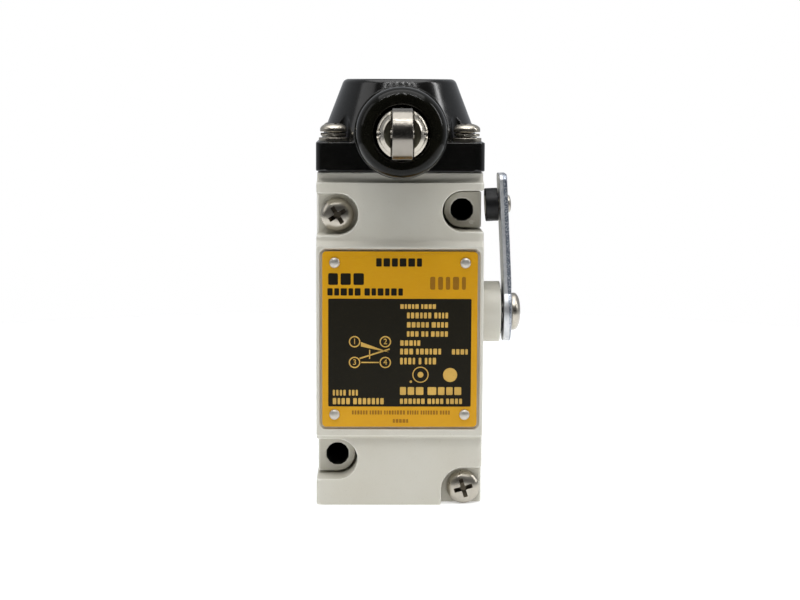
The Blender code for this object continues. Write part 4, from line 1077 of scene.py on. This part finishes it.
def nameplate():
    low, high = corners("nameplate")
    outline = rounded_rectangle(low.x, high.x, low.z, high.z, 1.0)
    made = prism("nameplate_sheet", "Y", outline, high.y, low.y)
    rivets = [corners("nameplate_rivet_%d" % number) for number in (1, 2, 3, 4)]
    holes = [
        cylinder("hole", "Y", ((a.x + b.x) / 2, (a.z + b.z) / 2), 1.0, low.y - OVER, high.y + OVER, 24)
        for a, b in rivets
    ]
    install(cut(made, *holes), "housing", "yellow_plate", "nameplate", bevel=0.08, segments=2)
    dark = ink("print_dark", (23, 20, 8), (60, 48, 20))
    pale = ink("print_pale", (212, 172, 88), (150, 118, 52))
    brown = ink("print_brown", (150, 104, 26), (196, 142, 34))
    left, right, bottom, top = PANEL_INK
    face = low.y
    panel = rounded_rectangle(left, right, bottom, top, 0.3)
    printed("print_panel", face, [(panel, PANEL_HEIGHT)], dark)
    dark_rows = row(-5.7, 5.2, 16.9, 18.9, (6,), 3)
    dark_rows += row(-17.1, -8.6, 12.5, 15.3, (3,), 5)
    dark_rows += row(-17.3, 0.7, 9.95, 11.7, (5, 6), 7)
    printed("print_titles", face, dark_rows, dark)
    brown_rows = row(7.2, 15.7, 11.4, 14.5, (5,), 9)
    brown_rows += row(-11.4, 12.1, -18.8, -17.8, (6, 5, 8, 5, 7, 4), 11)
    brown_rows += row(-1.6, 2.1, -20.8, -19.9, (5,), 13)
    printed("print_notes", face, brown_rows, brown)
    inked = face - PANEL_HEIGHT
    rows = []
    for seed, place in enumerate(RATINGS):
        rows += row(*place, RATINGS_SEED + 2 * seed)
    printed("print_ratings", inked, rows, pale)
    contacts = [(-10.8, -1.15), (-3.45, -1.15), (-10.8, -6.15), (-3.45, -6.15)]
    marks = []
    for centre in contacts:
        marks += circle_line(centre, 1.37, 0.28)
    marks.append(stroke((-9.2, -6.15), (-5.0, -6.15), 0.28))
    marks.append(stroke((-9.6, -5.2), (-2.4, -2.9), 0.35))
    marks.append(stroke((-7.2, -3.1), (-7.2, -5.3), 0.25))
    marks.append(([(-9.3, -1.2), (-9.3, -2.3), (-2.5, -3.7)], INK_HEIGHT))
    marks += circle_line((5.0, -9.1), 1.95, 0.25)
    marks.append((arc((5.0, -9.1), 0.7, 0, 360, 24)[:-1], INK_HEIGHT))
    marks.append((arc((12.1, -9.15), 1.7, 0, 360, 40)[:-1], INK_HEIGHT))
    marks.append((arc((2.7, -10.8), 0.3, 0, 360, 16)[:-1], INK_HEIGHT))
    printed("print_contact_symbol", inked, marks, pale)
    numerals(inked, contacts, 1.9, pale)
    dull = plated("rivet", (196, 192, 184), 0.42, 0.55)
    for number, (a, b) in enumerate(rivets, 1):
        radius = (b.x - a.x) / 2
        seat = low.y - 0.05
        profile = [(0, b.y), (0.7, b.y), (0.7, seat), (radius, seat)]
        profile += [
            (radius * math.cos(math.radians(t)), seat - 0.15 - 0.6 * math.sin(math.radians(t)))
            for t in range(0, 90, 10)
        ]
        profile.append((0, seat - 0.75))
        centre = ((a.x + b.x) / 2, (a.z + b.z) / 2)
        made = turned("rivet_%d" % number, "Y", centre, profile, 32)
        install(made, "housing", "nickel", "nameplate_rivet_%d" % number, look=dull)


# ----------------------------------------------------------------- fasteners


def cross_cutter(radius, top, depth):
    """A tapered cross recess, made along +Z with its mouth above top."""
    arms = []
    half = 0.13 * radius
    reach = 0.58 * radius
    mouth = top + 0.4
    outline = [
        (-reach * 1.08, mouth), (reach * 1.08, mouth), (reach, top - 0.15),
        (0.42 * reach, top - depth), (-0.42 * reach, top - depth), (-reach, top - 0.15),
    ]
    arms.append(prism("arm", "Y", outline, -half, half))
    arms.append(prism("arm", "X", outline, -half, half))
    wide = 1.6 * half
    core = [(0, mouth), (wide, mouth), (wide, top - 0.8 * depth), (0, top - depth)]
    arms.append(turned("core", "Z", (0, 0), core, 24))
    return join(*arms)


def pan_head(name, radius, height, shank, length):
    """A pan head cross-recess screw along +Z, with its seat at Z 0."""
    rim = 0.32 * height
    profile = [(0, -length), (shank - 0.3, -length), (shank, 0.4 - length), (shank, 0)]
    profile += [(radius - 0.1, 0), (radius, 0.1), (radius, rim)]
    for t in range(8, 90, 8):
        angle = math.radians(t)
        profile.append(
            (radius * math.cos(angle) ** 0.75, rim + (height - rim) * math.sin(angle) ** 1.1)
        )
    profile.append((0, height))
    made = turned(name, "Z", (0, 0), profile, 56)
    return cut(made, cross_cutter(radius, height * 0.98, height * 0.75))


def in_recess(radius, place, direction, top):
    """A test for the faces of a driver recess in a head that faces a direction."""
    middle = Vector(place)
    out = Vector(direction)

    def hidden(face):
        arm = face.center - middle
        height = arm.dot(out)
        away = (arm - out * height).length
        steep = face.normal.dot(out) < 0.7
        return away < 0.68 * radius and height > 0.2 and (steep or height < top)

    return hidden


def driven_screw(name, body, place, direction, turn, radius, height, shank, length):
    """A pan head screw in place of its CAD node, with painted shade in the driver recess."""
    made = pan_head(name + "_fine", radius, height, shank, length)
    aimed(made, place, direction, turn)
    # Painted shade: the driver recess's faces wear the darker look
    dark = in_recess(radius, place, direction, 0.7 * height)
    install(made, body, "nickel", name, hidden=dark, inner=RECESS_SHADE)


def box_screws():
    for name, turn in (("box_screw_upper", 32.0), ("box_screw_lower", 17.0)):
        low, high = corners(name)
        middle = (low + high) / 2
        radius = (high.x - low.x) / 2
        height = 2.7
        seat = low.y + height
        place = (middle.x, seat, middle.z)
        driven_screw(name, "housing", place, (0, -1, 0), turn, radius, height, 1.6, high.y - seat)


def spring_washer(name, inner, outer, low, high):
    """One turn of square wire that doesn't quite close, rising a little."""
    bm = bmesh.new()
    wire = (high - low) * 0.72
    rise = high - low - wire
    steps = 60
    gap = 7.0
    sections = []
    corner = 0.09
    outline = rounded_rectangle(inner, outer, 0.0, wire, corner, 2)
    for i in range(steps + 1):
        angle = math.radians(gap + (360 - 2 * gap) * i / steps)
        lift = low + rise * i / steps
        sections.append(
            [bm.verts.new((r * math.cos(angle), r * math.sin(angle), z + lift)) for r, z in outline]
        )
    bm.faces.new(sections[0])
    bm.faces.new(sections[-1])
    count = len(outline)
    for a, b in zip(sections, sections[1:]):
        for i in range(count):
            j = (i + 1) % count
            bm.faces.new((a[i], a[j], b[j], b[i]))
    return finished(name, bm)


def head_fasteners():
    turns = (24.0, 70.0, 10.0, 51.0)
    for number, turn in enumerate(turns, 1):
        name = "head_screw_%d" % number
        low, high = corners(name)
        middle = (low + high) / 2
        foot = (middle.x, middle.y, 0)
        radius = (high.x - low.x) / 2
        height = 2.0
        seat = high.z - height
        place = (middle.x, middle.y, seat)
        driven_screw(name, "housing", place, (0, 0, 1), turn, radius, height, 1.5, seat - low.z)
        name = "flat_washer_%d" % number
        low, high = corners(name)
        wide = (high.x - low.x) / 2
        ring = [(2.1, low.z), (wide, low.z), (wide, high.z), (2.1, high.z)]
        made = turned(name + "_fine", "Z", (0, 0), softened(ring, 0.12, 3, True), 56)
        aimed(made, foot, (0, 0, 1))
        install(made, "housing", "nickel", name)
        name = "spring_washer_%d" % number
        low, high = corners(name)
        wide = (high.x - low.x) / 2
        made = spring_washer(name + "_fine", 2.1, wide, low.z, high.z)
        aimed(made, foot, (0, 0, 1), 15.0 * number)
        install(made, "housing", "spring_steel", name, look=LOOKS["nickel"])


# ---------------------------------------------------------- plunger and boot


def bearing():
    low, high = corners("plunger_bearing")
    axle = (0, joint_place("plunger_roller_spin").z)
    flats = high.z - low.z - HEXAGON_TRIM
    across = flats / math.sqrt(3)
    shoulder = HEXAGON_BACK
    made = prism("bearing_hexagon", "Y", arc(axle, across, 0, 300, 5), low.y, shoulder)
    edge = across + OVER
    barrel = [
        (0, low.y), (flats / 2 - 0.2, low.y), (edge, low.y + 1.5), (edge, shoulder - 0.5),
        (flats / 2 + 0.6, shoulder), (0, shoulder),
    ]
    combine(made, [turned("barrel", "Y", axle, barrel)], "INTERSECT")
    y = shoulder - 0.6
    thread = [(0, y)]
    while y < high.y - 0.6:
        thread += [(THREAD_CREST, y), (THREAD_ROOT, y + THREAD_PITCH / 2)]
        y += THREAD_PITCH
    thread += [(THREAD_ROOT, high.y), (0, high.y)]
    join(made, turned("thread", "Y", axle, thread))
    cut(made, cylinder("bore", "Y", axle, BEARING_BORE, low.y - OVER, high.y + OVER, 72))
    install(made, "housing", "black_oxide", "plunger_bearing", bevel=0.1, segments=2)


def boot():
    """The rubber dome, with a bead round the plunger and a moulded rim."""
    low, high = corners("plunger_boot")
    axle = (0, joint_place("plunger_roller_spin").z)
    bead = (high.x - low.x) / 2
    hole = 6.4
    back = 9.2
    body = bead - 0.45
    lip = 8.1
    shoulder = low.y + 3.6
    profile = [(hole, high.y), (back, high.y)]
    neck = [
        (back, high.y), (back + 0.3, high.y - 2.2), (bead, high.y - 2.6),
        (bead, high.y - 3.9), (body - 0.15, high.y - 4.2), (body, high.y - 5.0),
    ]
    profile += softened(neck, 0.4, 4)[1:]
    for t in range(0, 91, 6):
        angle = math.radians(t)
        profile.append(
            (lip + (body - lip) * math.cos(angle), shoulder - (shoulder - low.y) * math.sin(angle))
        )
    profile += [(7.0, low.y + 0.1), (6.75, low.y + 0.45), (hole + 0.1, low.y + 0.6)]
    profile.append((hole, low.y + 1.3))
    made = turned("boot_dome", "Y", axle, profile, 128)
    install(made, "housing", "rubber", "plunger_boot")


def plunger():
    low, high = corners("plunger")
    spin = joint_place("plunger_roller_spin")
    axle = (0, spin.z)
    radius = (high.x - low.x) / 2
    nose = low.y
    profile = [
        (0, high.y), (radius - 0.4, high.y), (radius, high.y - 0.4), (radius, nose + 1.75),
        (radius - 0.06, nose + 1.6), (radius - 0.45, nose + 1.25), (5.08, nose + 1.2),
        (5.0, nose + 0.95), (4.2, nose + 0.06), (4.1, nose), (0, nose),
    ]
    made = turned("plunger_rod", "Y", axle, profile, 96)
    reach = radius + OVER
    rod_y = middle_of("push_rod").y
    under = spin.z - reach
    notch = [(NOTCH_FRONT_Y, under)]
    for y in (NOTCH_FRONT_Y, NOTCH_REAR_Y):
        notch.append((y, NOTCH_ROOF_Z + NOTCH_SLOPE * (y - rod_y)))
    notch.append((NOTCH_REAR_Y, under))
    front_end = (-ROLLER_SLOT, nose - OVER, under)
    cut(
        made,
        box("slot", front_end, (ROLLER_SLOT, ROLLER_SLOT_BACK, spin.z + reach)),
        prism("notch", "X", notch, -NOTCH_HALF, NOTCH_HALF),
        cylinder("pin_hole", "X", (spin.y, spin.z), PIN_HOLE, -reach, reach, 32),
    )
    # Painted shade: the nose's front faces wear a darker copy of the steel
    face = machined("plunger_nose_shade", (104, 100, 84), "Y", (0, 0, spin.z), 0.3, 0.4)

    def front(side):
        return side.normal.y < -0.9 and side.center.y < nose + 0.1

    install(made, "plunger", "stainless", "plunger", hidden=front, inner=face)
    low, high = corners("plunger_roller")
    outer = (high.z - low.z) / 2
    ring = [(1.3, low.x), (outer, low.x), (outer, high.x), (1.3, high.x)]
    made = turned("roller_wheel", "X", (spin.y, spin.z), softened(ring, 0.3, 4, True), 96)
    look = machined("roller_steel", (140, 135, 127), "X", (0, spin.y, spin.z), 0.19, 0.25)
    install(made, "plunger_roller", "stainless", "plunger_roller", look=look)
    low, high = corners("roller_pin")
    small = (high.z - low.z) / 2
    pin = softened([(0, low.x), (small, low.x), (small, high.x), (0, high.x)], 0.2, 3)
    made = turned("roller_axle", "X", (spin.y, spin.z), pin, 32)
    install(made, "plunger", "stainless", "roller_pin", look=look)


# --------------------------------------------------------------------- lever


def lever():
    low, high = corners("lever_arm")
    swing = joint_place("lever_swing")
    spin = joint_place("lever_roller_spin")
    hub = (swing.y, swing.z)
    lean = math.radians(ARM_LEAN)
    bend = ARM_BEND_Z
    inner = high.x - ARM_SHEET
    outer = high.x
    hub_radius = ARM_HUB
    half = ARM_HALF
    corner = ARM_CORNER
    reach = half - corner
    level = high.z - corner
    outline = arc(hub, hub_radius, 137, 403, 48)
    outline.append((swing.y + half, bend))
    outline += arc((swing.y + reach, level), corner, 0, 90, 12)
    outline += arc((swing.y - reach, level), corner, 90, 180, 12)
    outline.append((swing.y - half, bend))
    made = prism("lever_strip", "X", outline, inner, outer)
    bm = bmesh.new()
    bm.from_mesh(made.data)
    for level in (bend - 1.0, bend - 0.3, bend + 0.3, bend + 1.0):
        bmesh.ops.bisect_plane(
            bm,
            geom=bm.verts[:] + bm.edges[:] + bm.faces[:],
            plane_co=(0, 0, level),
            plane_no=(0, 0, 1),
        )
    for vert in bm.verts:
        above = vert.co.z - bend
        if above > 1.0:
            vert.co.x -= math.tan(lean) * above
        elif above > -1.0:
            vert.co.x -= math.tan(lean) * (above + 1.0) ** 2 / 4
    bm.to_mesh(made.data)
    bm.free()
    shaft = cylinder("bore", "X", hub, 3.3, inner - OVER, outer + OVER)
    rivet = cylinder("rivet_hole", "X", (0, 0), 1.8, -2.0, 5.0, 32)
    rivet.data.transform(Matrix.Translation(spin) @ Matrix.Rotation(-lean, 4, "Y"))
    cut(made, shaft, rivet)
    install(made, "lever", "zinc", "lever_arm", bevel=0.22)

    low, high = corners("lever_screw")
    radius = (high.z - low.z) / 2
    height = 2.2
    seat = high.x - height
    place = (seat, swing.y, swing.z)
    driven_screw("lever_screw", "lever", place, (1, 0, 0), 28.0, radius, height, 1.6, seat - low.x)

    tilt = Matrix.Translation(spin) @ Matrix.Rotation(-lean, 4, "Y")
    width = 3.1
    wheel = 4.0
    profile = [
        (1.8, 0.0), (1.8, 0.9 - width), (2.7, 0.9 - width), (2.7, -width), (wheel, -width),
        (wheel, 0.0),
    ]
    made = turned("lever_wheel", "X", (0, 0), softened(profile, 0.25, 4, True), 72)
    made.data.transform(tilt)
    install(made, "lever_roller", "black_nylon", "lever_roller")
    head = 2.5
    profile = [(0, -width), (2.3, -width), (2.3, 0.6 - width), (1.5, 0.6 - width), (1.5, head), (2.1, head)]
    profile += [
        (2.1 * math.cos(math.radians(t)), head + 0.1 + 0.6 * math.sin(math.radians(t)))
        for t in range(0, 90, 10)
    ]
    profile.append((0, head + 0.7))
    made = turned("lever_rivet", "X", (0, 0), profile, 40)
    made.data.transform(tilt)
    install(made, "lever", "nickel", "roller_rivet")

    low, high = corners("lever_shaft")
    profile = [
        (0, low.x), (3.0, low.x), (3.0, high.x), (2.2, high.x), (1.9, high.x - 0.4),
        (1.9, high.x - 8.0), (0, high.x - 8.0),
    ]
    made = turned("lever_shaft_fine", "X", hub, softened(profile, 0.2, 2), 48)
    look = machined("shaft_steel", (198, 195, 190), "X", (0, swing.y, swing.z))
    install(made, "lever", "stainless", "lever_shaft", look=look)

    low, high = corners("shaft_seal")
    ring = [(3.3, low.x), (5.5, low.x), (5.5, high.x), (3.3, high.x)]
    made = turned("shaft_seal_fine", "X", hub, softened(ring, 0.3, 3, True), 56)
    install(made, "housing", "gasket_rubber", "shaft_seal")


def compression_springs():
    """The two springs that shorten, as copies of their CAD meshes."""
    for name, joint, direction in (
        ("plunger_spring", "plunger_slide", Vector((0, 1, 0))),
        ("contact_spring", "switch_pin_slide", Vector((0, 0, -1))),
    ):
        node = frame["nodes"][name]
        made = placed(name + "_coil", node.data.copy())
        made.data.transform(node.matrix_world)
        made.data.materials.clear()
        made.data.materials.append(LOOKS["spring_steel"])
        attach(made, "housing")
        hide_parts(name)
        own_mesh(made)


def dress_cad():
    """Gives every CAD node that still shows its slot's procedural material."""
    for node in frame["nodes"].values():
        if node.hide_render:
            continue
        for index, material in enumerate(node.data.materials):
            slot = material.name.split(".")[0]
            node.data.materials[index] = LOOKS[slot]


# -------------------------------------------------------------------- studio


ROOM_DARK = 0.03
ROOM_BRIGHT = 0.45
FLOOR_RADIUS = 0.32
FLOOR_GLOW = 0.32


def camera():
    pitch = math.radians(CAMERA_PITCH)
    yaw = math.radians(CAMERA_YAW)
    roll = math.radians(CAMERA_ROLL)
    ahead = Vector(
        (math.sin(yaw) * math.cos(pitch), math.cos(yaw) * math.cos(pitch), -math.sin(pitch))
    )
    level = Vector((math.cos(yaw), -math.sin(yaw), 0.0))
    down = ahead.cross(level)
    right = math.cos(roll) * level + math.sin(roll) * down
    below = -math.sin(roll) * level + math.cos(roll) * down
    data = bpy.data.cameras.new("camera")
    data.lens = CAMERA_LENS
    data.clip_start = 0.01
    data.clip_end = 20.0
    made = placed("camera", data)
    made.matrix_world = Matrix.Translation(Vector(CAMERA_PLACE) * MM) @ Matrix(
        (right, -below, -ahead)
    ).transposed().to_4x4()
    bpy.context.scene.camera = made


def softbox(name, place, target, size, power):
    """A rectangular lamp at a place, aimed at a target, in millimetres."""
    data = bpy.data.lights.new(name, "AREA")
    data.shape = "RECTANGLE"
    data.size, data.size_y = (side * MM for side in size)
    data.energy = power
    made = placed(name, data)
    made.location = Vector(place) * MM
    made.rotation_euler = (Vector(target) - Vector(place)).to_track_quat("-Z", "Y").to_euler()


def lights():
    middle = (0, -30, 10)
    softbox("overhead", (0, -60, 720), middle, (900, 640), 4.2)
    softbox("left_panel", (-700, -230, 420), middle, (380, 520), 0.9)
    softbox("right_panel", (760, -100, 430), middle, (80, 520), 1.9)
    for number in range(6):
        place = (-245 + 98 * number, -390, 560)
        softbox("lamp_%d" % number, place, middle, (16, 260), 0.3)


def surroundings():
    """A white room for the camera, and a room with a dark front for reflections."""
    world = bpy.data.worlds.new("studio")
    bpy.context.scene.world = world
    world.use_nodes = True
    tree = world.node_tree
    tree.nodes.clear()
    node = tree.nodes.new
    link = tree.links.new
    direction = node("ShaderNodeTexCoord").outputs["Generated"]
    parts = node("ShaderNodeSeparateXYZ")
    link(direction, parts.inputs["Vector"])
    room = node("ShaderNodeBackground")
    bright = node("ShaderNodeMath")
    bright.operation = "MAXIMUM"
    for index, (output, start, end) in enumerate((("Y", -0.5, 0.3), ("Z", 0.55, 0.9))):
        part = node("ShaderNodeMapRange")
        part.interpolation_type = "SMOOTHSTEP"
        part.inputs["From Min"].default_value = start
        part.inputs["From Max"].default_value = end
        part.inputs["To Min"].default_value = ROOM_DARK
        part.inputs["To Max"].default_value = ROOM_BRIGHT
        link(parts.outputs[output], part.inputs["Value"])
        link(part.outputs["Result"], bright.inputs[index])
    link(bright.outputs["Value"], room.inputs["Strength"])
    white = node("ShaderNodeBackground")
    white.inputs["Color"].default_value = (1, 1, 1, 1)
    white.inputs["Strength"].default_value = 1.0
    room.inputs["Color"].default_value = (0.92, 0.95, 1.0, 1)
    seen = node("ShaderNodeLightPath").outputs["Is Camera Ray"]
    mix = node("ShaderNodeMixShader")
    link(seen, mix.inputs["Fac"])
    link(room.outputs[0], mix.inputs[1])
    link(white.outputs[0], mix.inputs[2])
    out = node("ShaderNodeOutputWorld")
    link(mix.outputs[0], out.inputs["Surface"])


def floor():
    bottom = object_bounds()[0].z
    bm = bmesh.new()
    bmesh.ops.create_circle(bm, cap_ends=True, segments=96, radius=FLOOR_RADIUS)
    mesh = mesh_from("floor", bm)
    made = placed("floor", mesh)
    made.location = (0, 0.02, bottom)
    material = bpy.data.materials.new("floor_white")
    material.use_nodes = True
    shader = material.node_tree.nodes["Principled BSDF"]
    shader.inputs["Base Color"].default_value = (0.88, 0.89, 0.9, 1)
    shader.inputs["Roughness"].default_value = 0.6
    shader.inputs["Emission Color"].default_value = (1, 1, 1, 1)
    shader.inputs["Emission Strength"].default_value = FLOOR_GLOW
    mesh.materials.append(material)
    made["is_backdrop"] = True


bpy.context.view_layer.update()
switch_box()
receptacle()
hole_plugs()
head()
nameplate()
box_screws()
head_fasteners()
bearing()
boot()
plunger()
lever()
compression_springs()
dress_cad()
camera()
lights()
surroundings()
floor()
bpy.context.scene.view_settings.view_transform = "Standard"
